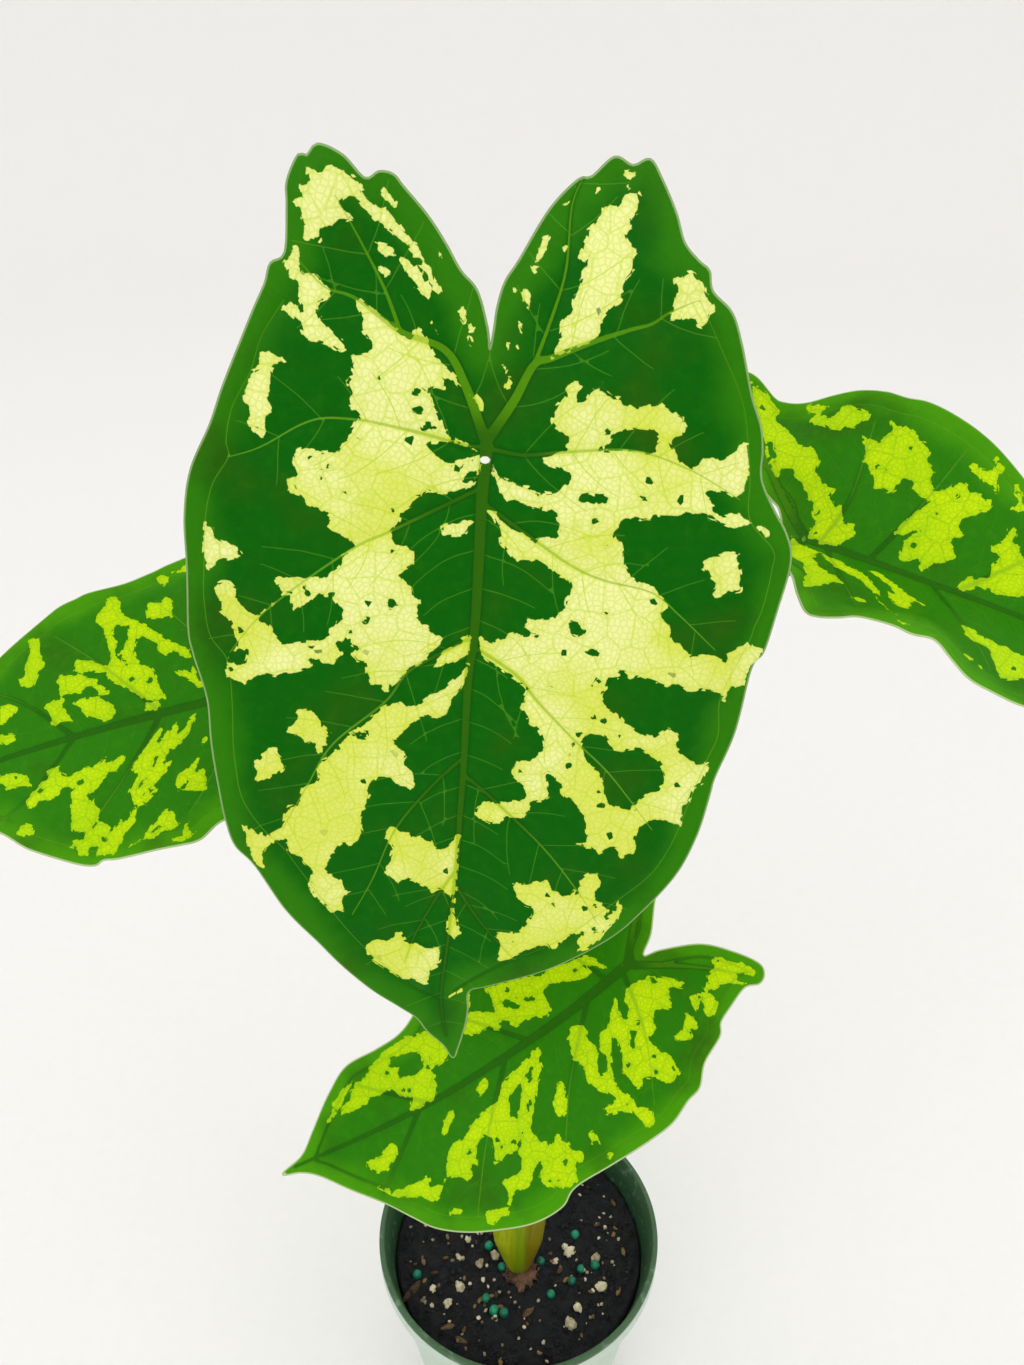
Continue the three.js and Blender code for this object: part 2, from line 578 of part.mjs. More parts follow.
function place(name, geometry, colour, roughness) {
  const finished = mergeVertices(stripped(geometry), 1e-4);
  finished.computeVertexNormals();
  const mesh = new THREE.Mesh(finished, new THREE.MeshStandardMaterial({ color: rgb(colour), roughness }));
  mesh.name = name;
  mesh.material.name = `${name}_look`;
  group.add(mesh);
}

// Only the points and faces of a geometry.
function stripped(geometry) {
  const bare = new THREE.BufferGeometry();
  bare.setAttribute('position', geometry.getAttribute('position').clone());
  if (geometry.index) bare.setIndex(geometry.index.clone());
  return bare;
}

place('pot', pot(), '#7fae8d', 0.5);
place('soil', soil(), '#1b1713', 0.95);
place('corm', corm(), '#5a3f2c', 0.9);
for (const name of Object.keys(LEAVES)) {
  place(`stalk_${name}`, stalk(name), '#6f8a1c', 0.5);
  place(`blade_${name}`, blade(name), '#2f7a12', 0.45);
}

export default group;
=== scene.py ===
"""A potted caladium with four camouflage leaves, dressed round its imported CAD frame."""

import math

import bmesh
import bpy
import numpy as np
from bpy.props import FloatProperty, FloatVectorProperty, IntProperty, PointerProperty
from mathutils import Matrix, Vector, noise
from mathutils.geometry import delaunay_2d_cdt


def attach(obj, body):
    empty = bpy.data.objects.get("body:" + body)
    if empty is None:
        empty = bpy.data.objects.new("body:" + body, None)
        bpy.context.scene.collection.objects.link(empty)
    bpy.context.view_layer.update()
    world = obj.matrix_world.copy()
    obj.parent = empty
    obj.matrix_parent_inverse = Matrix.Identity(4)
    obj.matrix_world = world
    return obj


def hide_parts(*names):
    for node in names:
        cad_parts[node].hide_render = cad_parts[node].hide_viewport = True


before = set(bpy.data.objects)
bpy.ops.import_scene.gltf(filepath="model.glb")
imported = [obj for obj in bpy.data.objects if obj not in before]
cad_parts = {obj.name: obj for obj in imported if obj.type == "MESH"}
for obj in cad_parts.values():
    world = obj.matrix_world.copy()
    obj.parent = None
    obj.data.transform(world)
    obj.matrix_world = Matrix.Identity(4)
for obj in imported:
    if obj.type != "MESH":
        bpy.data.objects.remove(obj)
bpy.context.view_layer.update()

bl_info = {
    "name": "Potted caladium",
    "version": (1, 0, 0),
    "blender": (4, 5, 0),
    "location": "3D View > Sidebar > Caladium",
    "description": "Builds the leaves, stalks, pot and soil of a potted caladium round its frame",
    "category": "Add Mesh",
}

# Lengths below are in millimetres, as in the frame's own drawing, unless a name says otherwise.
MM = 0.001

# The view: a 28 mm lens on a 36 mm sensor, level from side to side and looking down at the plant.
PHOTO_WIDTH = 1024
PHOTO_HEIGHT = 1365
LENS = 28
SENSOR = 36
PITCH = math.radians(30.8)
CAMERA_PLACE = np.array([-2.5, -247.0, 489.0])
FOCAL_PIXELS = LENS / SENSOR * PHOTO_HEIGHT
VIEW_RIGHT = np.array([1.0, 0.0, 0.0])
VIEW_AHEAD = np.array([0.0, math.cos(PITCH), -math.sin(PITCH)])
VIEW_UP = np.array([0.0, math.sin(PITCH), math.cos(PITCH)])
# How often a point's place on a curved face is corrected, and by how much of its error each time.
CAST_ROUNDS = 60
CAST_SHARE = 0.6

# Pot: thin tapered plastic with a rolled rim.
RIM_RADIUS = 54
RIM_HEIGHT = 8
POT_HEIGHT = 95
BASE_RADIUS = 38
WALL = 1.5
FLOOR = 2.2
NECK_RADIUS = 50.4
DRAIN_RADIUS = 4.5
DRAIN_CIRCLE = 30
DRAIN_COUNT = 6
LIP_WIDTH = 2.0
LIP_DEPTH = 1.7
POT_SIDES = 160

# Soil: a rough bed below the rim.
SOIL_TOP = 82
SOIL_ROUGHNESS = 1.1
SOIL_CLEARANCE = 0.35
SOIL_SIDES = 300
SOIL_RINGS = 9
CORM_CENTRE = (0.6, -10, 74.5)
# Broken ends of the corm in front of the stalks, as a place and a radius.
CORM_LUMPS = [
    ((2.6, -14, 83.6), 2.9), ((-0.6, -14.5, 83), 2.2), ((4.8, -12.6, 83.4), 2.1), ((0.6, -17, 82.8), 1.9),
]
CORM_RADIUS = 9.5

# Loose pieces on the soil, read off the photograph: each starts with its x and y in pixels. Then comes
# a radius, or for bark a length and a turn in radians.
PERLITE = [
    (433, 1288, 1.6), (460, 1287, 2.1), (448, 1303, 1.8), (495, 1257, 1.9), (565, 1247, 1.5),
    (570, 1252, 2.1), (595, 1258, 2.0), (601, 1285, 2.2), (571, 1323, 2.1), (578, 1308, 1.8),
    (468, 1240, 1.4), (480, 1264, 1.8), (459, 1257, 1.3), (555, 1262, 1.2),
]
PRILLS = [
    (417, 1273), (489, 1246), (502, 1268), (541, 1262), (486, 1298), (494, 1309), (504, 1313),
    (551, 1294), (575, 1235), (581, 1268), (572, 1280), (595, 1265),
]
PRILL_RADIUS = 1.8
BARK = [(413, 1290, 5.5, 0.9), (448, 1327, 3.2, 0.3), (461, 1339, 3, -0.4), (528, 1312, 3.4, 0.7)]

FOLD_ROUNDING = 3

# Blade outlines, from the notch between the lobes round to it again, as (across, along) from the
# point where the stalk joins. Along grows to the tip; the lobes are behind the joint.
FRONT_OUTLINE = [
    (-0.6, -18.7), (-1.3, -22.5), (-3.6, -29), (-7, -32.5), (-10, -37), (-13.5, -41.5), (-18, -46),
    (-20, -48), (-22.5, -48.3), (-25, -47), (-29, -50.5), (-33.5, -52), (-35.4, -50), (-37, -50),
    (-39, -45.5), (-39, -41.5), (-39.4, -33.5), (-42, -31.5), (-43, -28), (-45, -23.5),
    (-47.5, -17.5), (-51, -9), (-53.5, -2), (-57.5, 7), (-59, 16), (-59.2, 26), (-60, 40), (-59, 46),
    (-56, 55), (-55, 64), (-53.5, 74), (-52.5, 83), (-51, 90), (-47, 95.5), (-40.5, 107.5),
    (-33, 117), (-27.5, 124), (-20.5, 131.5), (-14, 137), (-9.5, 141), (-6.8, 145.5), (-2.6, 150.5),
    (0, 155), (1.2, 151), (2.5, 144), (3, 138.5), (3, 132.5), (7.5, 130), (19, 124), (27, 118.5),
    (35.5, 111), (41, 104), (48, 92.5), (51.5, 82), (53.5, 71), (54, 68), (57, 57), (57.7, 41),
    (59.6, 36.5), (60.6, 26), (61.5, 16.5), (60, 11.5), (57, 7), (54, 1.5), (53.5, -4), (52.5, -8.5),
    (50, -14), (47, -23), (44.5, -28.5), (40.5, -32), (39.5, -35.5), (37.5, -37), (34.5, -40),
    (32.5, -45), (29.5, -50.5), (27, -53.8), (24, -52.6), (20.5, -53.8), (16.5, -50.2), (14, -49.5),
    (9, -44), (4, -35), (1.6, -31), (0.4, -26.5), (0, -22.5),
]
LEFT_OUTLINE = [
    (0, -10), (-1.6, -14), (-5, -22), (-11, -29.5), (-18, -33.5), (-25, -32.5), (-31, -29),
    (-37, -23), (-42, -14), (-46, -5), (-49, 4), (-50, 12), (-49, 20.5), (-46.5, 26.5),
    (-43.5, 33.5), (-41.5, 43.5), (-40.5, 47), (-39.5, 53.5), (-36, 62), (-30.5, 71.5), (-25, 79),
    (-18, 88), (-10, 96.5), (-4, 102), (0, 110), (3, 103), (9, 95), (16, 85), (22.5, 75.5), (30, 68),
    (36.5, 58), (39, 52.5), (38.5, 50), (40, 45.5), (41.5, 37), (42.5, 29), (42, 24), (38, 18.5),
    (36.5, 10), (36, 2), (34, -7), (31.5, -14), (28, -22), (23, -29), (17, -31.5), (11, -29),
    (6, -21), (1.8, -13),
]
RIGHT_OUTLINE = [
    (0, -7.5), (-2, -14), (-6, -23), (-11, -27), (-16, -24), (-18, -16), (-18, -7), (-19, 0),
    (-30, 5), (-36.5, 8.5), (-37, 11.5), (-35, 15.5), (-33, 19.5), (-35, 26), (-36.5, 31),
    (-34.5, 36), (-36.5, 40.5), (-39, 46), (-38, 52), (-36, 58.5), (-31, 68), (-24, 78), (-15, 87),
    (-6, 94), (0, 102), (3, 95), (9, 85), (16, 73), (23, 61), (29, 50), (35, 37.5), (39, 26),
    (40.5, 13), (40.5, 7), (41.5, 1), (41, -5), (39, -11), (37, -16.5), (36, -22), (36, -25.5),
    (39, -32.5), (39.5, -36), (38, -40), (34, -43.5), (29, -43.8), (24, -39), (18, -30.5),
    (12.8, -22), (9.4, -16.5), (7.4, -13.2), (5.4, -10),
]
LOWER_OUTLINE = [
    (0, -6), (-4.5, -11.5), (-12.5, -18), (-18.5, -24.5), (-25, -28), (-31, -24), (-36, -13),
    (-39, 0), (-40, 12), (-39.5, 25), (-37, 38), (-31.5, 49), (-25, 58), (-20, 66), (-17.8, 72),
    (-17.6, 80), (-18.2, 91), (-14, 99), (-6.5, 108.5), (-2.2, 114.5), (-0.6, 122.5), (1.8, 117),
    (5.5, 112), (14, 104.5), (22, 97), (29, 91.5), (35, 86.5), (40.5, 78.5), (44.5, 69.5), (47.5, 60),
    (48, 51.5), (45.6, 46), (45.4, 34), (45.2, 20), (44.6, 12), (42, 5), (40.6, 0), (35.5, -5),
    (31.5, -13), (28.3, -15.5), (26, -20.5), (23.5, -27.5), (24.8, -32), (23, -35), (19.5, -35.2),
    (13, -30.5), (6, -23), (1.4, -11.5),
]

# Each stalk is (x, y, z, radius) up its middle: a broad sheathing foot and a slim top.
STALKS = {
    "front": [
        (-0.9, -6.6, 76, 1.3), (-1.3, -6.3, 82, 1.45), (-2.3, -4.2, 92, 2.3), (-3.3, -1.4, 104, 3.1),
        (-4, 6, 130, 2.9), (-4.5, 17, 190, 2.7), (-5.5, 25, 255, 2.5), (-6.4, 23, 320, 2.3),
        (-7.2, 7, 380, 2.1), (-7.5, -16, 412, 1.9),
    ],
    "left": [
        (-0.9, -9.9, 76, 1.3), (-1.3, -10.1, 82, 1.45), (-2.9, -9.9, 92, 2.85), (-4.5, -9.5, 104, 4.3),
        (-8.5, -3, 128, 3.6), (-15, 14, 180, 2.8), (-27, 28, 245, 2.5), (-46, 31, 295, 2.2),
        (-62, 24, 322, 1.9),
    ],
    "right": [
        (2.3, -6.6, 76, 1.3), (2.0, -6.3, 82, 1.45), (3.1, -4.2, 92, 2.3), (4.3, -1.4, 104, 3.1),
        (8, 6, 130, 2.9), (16, 22, 190, 2.7), (33, 33, 260, 2.4), (52, 31, 320, 2.1),
        (66, 20, 358, 1.9),
    ],
    "lower": [
        (2.3, -9.9, 76, 1.3), (2.0, -10.1, 82, 1.45), (3.4, -9.9, 92, 2.85), (4.9, -9.5, 104, 4.3),
        (8.5, -5.5, 126, 3.5), (14, 3, 165, 2.7), (22, 6, 205, 2.3), (28, 2, 228, 1.9),
    ],
}
STALK_SIDES = 28
STALK_TOP_RADIUS = 1.9
# The stalk whose foot wraps the others, and its wrap as (x, y, z, half-width, half-depth).
SHEATHING_STALK = "left"
SHEATH_SIDES = 64
# Where round the wrap its seam runs and its lip stands highest, in radians, and how far the lip slants.
SHEATH_SEAM = 4.9
SHEATH_CREST = 4.5
SHEATH_SLANT = 7
SHEATH = [
    (0.6, -8.4, 80, 3.0, 3.0), (0.5, -8.4, 84, 4.0, 3.9), (0.4, -7.9, 90, 5.9, 5.4),
    (0.3, -6.9, 98, 8.0, 7.2), (0.2, -6.0, 104, 9.2, 8.0), (0.1, -4.2, 111, 10.0, 8.6),
    (0, -2.4, 118, 10.6, 8.9),
]

# Half-widths of the veins where they start, and how far apart the fine ones leave them.
MIDRIB_WIDTH = 1.25
LOBE_VEIN_WIDTH = 1.05
LATERAL_WIDTH = 0.4
EDGE_VEIN_WIDTH = 0.08
FINE_VEIN_WIDTH = 0.08
FINE_VEIN_STEP = 8.5
# How far inside the margin the vein that follows it runs.
EDGE_VEIN_INSET = 3.8
# How far apart the samples along a vein are.
VEIN_SAMPLE = 0.7

# Veins as (along, across) from the joint, the midrib first.
LEFT_VEINS = [
    [(0, 0), (30, 0.5), (62, 0.5), (106, 0)],
    [(0, 0), (-9, -9), (-17, -18), (-22, -27)],
    [(0, 0), (-9, 8), (-16, 17), (-22, 23)],
    [(3, -0.5), (1, -14), (4, -30), (8, -43)],
    [(3, 0.5), (1, 12), (3, 24), (8, 32)],
    [(9, -0.5), (16, -20), (26, -36)],
    [(9, 0.5), (16, 18), (26, 34)],
    [(30, 0), (42, -17), (55, -32)],
    [(30, 1), (42, 18), (55, 32)],
    [(54, 0), (66, -14), (77, -22)],
    [(54, 1), (66, 14), (75, 19)],
]
RIGHT_VEINS = [
    [(0, 0), (30, -1), (60, 0), (98, 0)],
    [(0, 0), (-12, 10), (-24, 22), (-34, 33)],
    [(0, 0), (-6, -7), (-13, -11), (-19, -12)],
    [(3, 0.5), (5, 14), (2, 34)],
    [(5, -0.5), (13, -16), (18, -27)],
    [(16, 0), (22, 18), (26, 34)],
    [(32, -1), (42, -16), (50, -30)],
    [(38, 0), (50, 14), (56, 22)],
    [(56, 0), (68, -14), (76, -20)],
    [(60, 0), (70, 9), (76, 12)],
]
LOWER_VEINS = [
    [(0, 0), (28, 3.5), (64, 4.6), (90, 3), (118, -0.5)],
    [(0, 0), (-8, -9), (-16, -17), (-20, -24)],
    [(0, 0), (-12, 7), (-22, 14), (-28, 19)],
    [(2, 1), (6, 20), (14, 38)],
    [(8, -0.5), (18, -20), (30, -33)],
    [(16, 3), (32, 20), (46, 40)],
    [(38, 3), (50, -10), (60, -20)],
    [(46, 5), (62, 22), (74, 38)],
    [(72, 4.5), (84, -6), (92, -13)],
    [(76, 4.5), (90, 15), (96, 19)],
]


def pixels(text):
    """Points of the photograph from text such as "487,446 482,498"."""
    return [tuple(float(n) for n in pair.split(",")) for pair in text.split()]


def unit(vector):
    """The vector at length one."""
    vector = np.asarray(vector, float)
    return vector / np.linalg.norm(vector)


def smooth_curve(points, step, closed):
    """A Catmull-Rom curve through the points, with about one sample for each step."""
    points = np.asarray(points, float)
    count = len(points)
    samples = []
    for i in range(count if closed else count - 1):
        if closed:
            p0, p1, p2, p3 = (points[(i + k) % count] for k in (-1, 0, 1, 2))
        else:
            p0, p1, p2, p3 = (points[min(max(i + k, 0), count - 1)] for k in (-1, 0, 1, 2))
        pieces = max(1, round(np.linalg.norm((p2 - p1)[:2]) / step))
        for t in np.arange(pieces) / pieces:
            samples.append(0.5 * (2 * p1 + (p2 - p0) * t + (2 * p0 - 5 * p1 + 4 * p2 - p3) * t * t
                                  + (3 * p1 - p0 - 3 * p2 + p3) * t ** 3))
    if not closed:
        samples.append(points[-1])
    return np.array(samples)


def line_distance(points, line, reach, closed=False):
    """Distance from each point to a line less the line's half-width there, at most reach.

    The line's rows are (x, y) or (x, y, half-width)."""
    line = np.asarray(line, float)
    if line.shape[1] == 2:
        line = np.column_stack([line, np.zeros(len(line))])
    if closed:
        line = np.vstack([line, line[:1]])
    nearest = np.full(len(points), float(reach))
    group = 10
    for first in range(0, len(line) - 1, group):
        part = line[first:first + group + 1]
        low = part[:, :2].min(0) - reach - part[:, 2].max()
        high = part[:, :2].max(0) + reach + part[:, 2].max()
        chosen = np.flatnonzero(((points > low) & (points < high)).all(1))
        if not len(chosen):
            continue
        start, span = part[:-1], np.diff(part, axis=0)
        offset = points[chosen][:, None, :] - start[None, :, :2]
        squared = np.maximum((span[:, :2] ** 2).sum(1), 1e-9)
        share = np.clip((offset * span[None, :, :2]).sum(2) / squared, 0, 1)
        gap = np.linalg.norm(offset - share[..., None] * span[None, :, :2], axis=2)
        gap -= start[None, :, 2] + share * span[None, :, 2]
        nearest[chosen] = np.minimum(nearest[chosen], gap.min(1))
    return nearest


def inside(points, loop):
    """Which of the points lie inside the closed loop."""
    loop = np.asarray(loop, float)[:, :2]
    result = np.zeros(len(points), bool)
    low, high = loop.min(0), loop.max(0)
    chosen = np.flatnonzero(((points >= low) & (points <= high)).all(1))
    x, y = points[chosen].T
    hit = np.zeros(len(chosen), bool)
    for (x0, y0), (x1, y1) in zip(loop, np.roll(loop, -1, axis=0)):
        if y0 != y1:
            crosses = (y0 > y) != (y1 > y)
            hit ^= crosses & (x < (x1 - x0) * (y - y0) / (y1 - y0) + x0)
    result[chosen] = hit
    return result


def loop_depth(points, loop, reach):
    """Distance from each point to the loop: positive inside it, negative outside."""
    depth = line_distance(points, np.asarray(loop)[:, :2], reach, closed=True)
    return np.where(inside(points, loop), depth, -depth)


def lattice(low, high, step):
    """Points of a triangular lattice over a box."""
    rows = np.arange(low[1], high[1], step * math.sqrt(0.75))
    columns = np.arange(low[0], high[0] + step, step)
    shift = np.where(np.arange(len(rows)) % 2, step / 2, 0)
    x = (columns[None, :] + shift[:, None]).ravel()
    return np.column_stack([x, np.repeat(rows, len(columns))])


def triangulate(loop, lines, step):
    """Even triangles inside a closed loop, with edges along the lines.

    Gives the points, the triangles and the loop's own points in order."""
    loop = np.asarray(loop, float)
    fill = lattice(loop.min(0), loop.max(0), step)
    fill = fill[loop_depth(fill, loop, 2 * step) > 0.5 * step]
    inner = []
    for line in lines:
        line = line[loop_depth(line, loop, 2 * step) > 0.6 * step]
        if len(line) > 1:
            inner.append(line)
            fill = fill[line_distance(fill, line, step) > 0.45 * step]
    total = len(loop)
    edges = [(i, (i + 1) % total) for i in range(total)]
    rows = [loop]
    for line in inner:
        edges += [(total + i, total + i + 1) for i in range(len(line) - 1)
                  if np.linalg.norm(line[i + 1] - line[i]) < 2 * step]
        rows.append(line)
        total += len(line)
    rows.append(fill)
    given = [Vector(p) for p in np.vstack(rows)]
    points, _, faces, sources, _, _ = delaunay_2d_cdt(given, edges, [], 1, 1e-6)
    rim = np.zeros(len(loop), int)
    for place, source in enumerate(sources):
        for number in source:
            if number < len(loop):
                rim[number] = place
    return np.array([tuple(p) for p in points]), np.array([tuple(f) for f in faces]), rim


def make_object(name, points, faces, smooth=True):
    """A mesh object from points in millimetres."""
    mesh = bpy.data.meshes.new(name)
    mesh.from_pydata((np.asarray(points, float) * MM).tolist(), [], [list(map(int, f)) for f in faces])
    mesh.validate()
    mesh.update()
    mesh.shade_smooth() if smooth else mesh.shade_flat()
    made = bpy.data.objects.new(name, mesh)
    bpy.context.collection.objects.link(made)
    return made


def add_values(made, name, values):
    """Stores one number for each point of a mesh, for its material to read."""
    layer = made.data.attributes.new(name, "FLOAT", "POINT")
    layer.data.foreach_set("value", np.ascontiguousarray(values, dtype=np.float32))


def add_vectors(made, name, values):
    """Stores one vector for each point of a mesh, for its material to read."""
    layer = made.data.attributes.new(name, "FLOAT_VECTOR", "POINT")
    layer.data.foreach_set("vector", np.ascontiguousarray(values, dtype=np.float32).ravel())


def place_piece(made, material, node=None):
    """Gives a piece its finish and its place in the frame."""
    made.data.materials.append(material)
    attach(made, "root")
    if node:
        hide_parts(node)


def view_rays(picture):
    """The directions from the camera through points of the photograph."""
    u, v = np.asarray(picture, float).T
    return (VIEW_AHEAD + ((u - PHOTO_WIDTH / 2) / FOCAL_PIXELS)[:, None] * VIEW_RIGHT
            - ((v - PHOTO_HEIGHT / 2) / FOCAL_PIXELS)[:, None] * VIEW_UP)


class Leaf:
    """One blade: its own frame, the height of its face and where the photograph meets it."""

    def __init__(self, joint, tip, facing, outline, fold, curl, lobe_bend, bow, arch, waves):
        self.joint = np.array(joint, float)
        reach = np.array(tip, float) - self.joint
        self.length = np.linalg.norm(reach)
        self.ahead = reach / self.length
        facing = np.array(facing, float)
        self.normal = unit(facing - (facing @ self.ahead) * self.ahead)
        self.side = np.cross(self.normal, self.ahead)
        self.outline = outline
        self.fold = [math.tan(math.radians(angle)) for angle in fold]
        self.curl = curl
        self.lobe_bend = lobe_bend
        self.bow = bow
        self.arch = arch
        self.waves = waves

    def height(self, across, along):
        """Height of the blade above its flat plane."""
        part = along / self.length
        side = across - np.where(along > 0, self.bow * 4 * part * (1 - part), 0)
        total = self.arch * 4 * part * (1 - part) * np.where(along > 0, 1, 0.6)
        total = total + np.where(side < 0, *self.fold) * (np.hypot(side, FOLD_ROUNDING) - FOLD_ROUNDING)
        total = total + self.curl * side ** 2 / 100
        total = total + np.where(along < 0, self.lobe_bend * along ** 2 / 100, 0)
        for wave_along, wave_across, reach, height in self.waves:
            away = (along - wave_along) ** 2 + (across - wave_across) ** 2
            total = total + height * np.exp(-away / reach ** 2)
        return total

    def place(self, flat, lift=0.0):
        """Points in space of (across, along) rows, lifted off the face."""
        across, along = np.asarray(flat, float).T
        height = self.height(across, along) + lift
        return (self.joint + along[:, None] * self.ahead + across[:, None] * self.side
                + height[:, None] * self.normal)

    def cast(self, picture):
        """Where the photograph's points fall on the face, as (across, along) rows."""
        rays = view_rays(picture)
        start = CAMERA_PLACE - self.joint
        height = 0.0
        for _ in range(CAST_ROUNDS):
            travel = (height - start @ self.normal) / (rays @ self.normal)
            hit = start + travel[:, None] * rays
            found = self.height(hit @ self.side, hit @ self.ahead)
            height = height + CAST_SHARE * (found - height)
        return np.column_stack([hit @ self.side, hit @ self.ahead])

    def seen_at(self, flat):
        """The photograph's points where (across, along) rows show."""
        return project(self.place(flat))


def project(places):
    """The photograph's points of places in space."""
    offset = places - CAMERA_PLACE
    depth = offset @ VIEW_AHEAD
    return np.column_stack([PHOTO_WIDTH / 2 + FOCAL_PIXELS * (offset @ VIEW_RIGHT) / depth,
                            PHOTO_HEIGHT / 2 - FOCAL_PIXELS * (offset @ VIEW_UP) / depth])


def on_soil(seen_x, seen_y):
    """Where a point of the photograph lies on the soil, as x and y."""
    ray = view_rays([(seen_x, seen_y)])[0]
    place = CAMERA_PLACE + ray * (SOIL_TOP + 1 - CAMERA_PLACE[2]) / ray[2]
    return place[0], place[1]


FRONT = Leaf(
    joint=(-7.4, -42, 421), tip=(-17.6, -63, 268), facing=(0, -1, 0.1), outline=FRONT_OUTLINE,
    fold=(9, 9), curl=-0.12, lobe_bend=-0.15, bow=1.5, arch=3,
    waves=[(40, -60, 14, -3), (75, -56, 14, 3), (20, 62, 14, 3), (60, 56, 14, -3),
           (-50, -30, 12, 3), (-50, 22, 12, -2)],
)
LEFT = Leaf(
    joint=(-71, 10, 334), tip=(-167, -12, 314), facing=(0, -0.515, 0.857), outline=LEFT_OUTLINE,
    fold=(6, 6), curl=-0.1, lobe_bend=-0.2, bow=1.5, arch=5,
    waves=[(20, -46, 10, -3), (47, -44, 10, 3), (30, 40, 10, 3), (55, 38, 9, -3)],
)
RIGHT = Leaf(
    joint=(74, 8, 380), tip=(160, -34, 356), facing=(0, -0.42, 0.91), outline=RIGHT_OUTLINE,
    fold=(25, 25), curl=-0.06, lobe_bend=-0.1, bow=1, arch=4,
    waves=[(31, -33, 11, 5.5), (60, -34, 11, -3), (-20, 33, 10, -4), (12, 44, 13, 3),
           (45, 33, 10, -2)],
)
LOWER = Leaf(
    joint=(33, -10, 246), tip=(-70, -46, 196), facing=(0, -0.6, 0.8), outline=LOWER_OUTLINE,
    fold=(-4, 5), curl=-0.1, lobe_bend=-0.2, bow=5, arch=4,
    waves=[(3, 42, 9, -3), (22, 46, 10, 3), (45, 46, 9, -3), (60, 48, 9, 2), (92, -15, 10, -2)],
)

# The front leaf's veins where the photograph shows them, the midrib first.
FRONT_VEINS_SEEN = [
    "487,446 482,498 478,577 474,637 468,681 464,760 460,815 457,858 452,905 447,947 441,997 446,1035",
    "485,440 466,387 445,350 400,331 355,298 325,287 300,262",
    "489,438 514,401 534,365 552,358 593,342 630,330 652,324 671,312 700,300",
    "482,446 469,446 420,433 377,423 360,420 325,418 300,425 260,447 228,457",
    "492,449 524,455 568,452 634,451 690,470 740,500",
    "477,490 393,530 354,548 296,587 257,619 230,652",
    "486,505 537,542 575,568 606,581 652,593 680,616 715,650",
    "470,638 432,658 406,674 385,702 333,744 307,786 282,830",
    "475,648 516,675 537,701 573,739 610,775 652,830",
    "464,757 430,788 395,830 372,880 352,915",
    "464,775 500,806 545,850 580,895 598,925",
    "457,868 435,900 415,935 405,962",
    "455,885 475,915 500,945 515,960",
    "534,365 551,320 566,270 572,206 585,175",
    "400,331 385,290 360,240 335,195",
]

# The thin vein that follows the front leaf's margin, left and right.
FRONT_EDGE_VEINS_SEEN = [
    "284,300 262,335 251,370 243,385 231,410 226,440 228,457 212,485 205,520 204,560 204,600 210,635"
    " 227,660 232,700 233,740 236,770 243,800 262,828 285,850 300,870 335,915 365,948 410,985 440,998",
    "700,300 722,350 742,400 748,440 750,480 750,520 773,550 772,570 762,610 754,628 750,640 735,668"
    " 720,700 718,735 707,760 692,795 678,830 668,850 650,875 618,900 560,940 500,965 455,990",
]
# A pale spot painted on the front leaf over the end of its stalk.
FRONT_WHITE_SPOT_SEEN = (485, 460)
WHITE_SPOT_RADIUS = 0.85

VEINS = {
    "front": [FRONT.cast(pixels(line))[:, ::-1] for line in FRONT_VEINS_SEEN],
    "left": LEFT_VEINS,
    "right": RIGHT_VEINS,
    "lower": LOWER_VEINS,
}
LEAVES = {"front": FRONT, "left": LEFT, "right": RIGHT, "lower": LOWER}

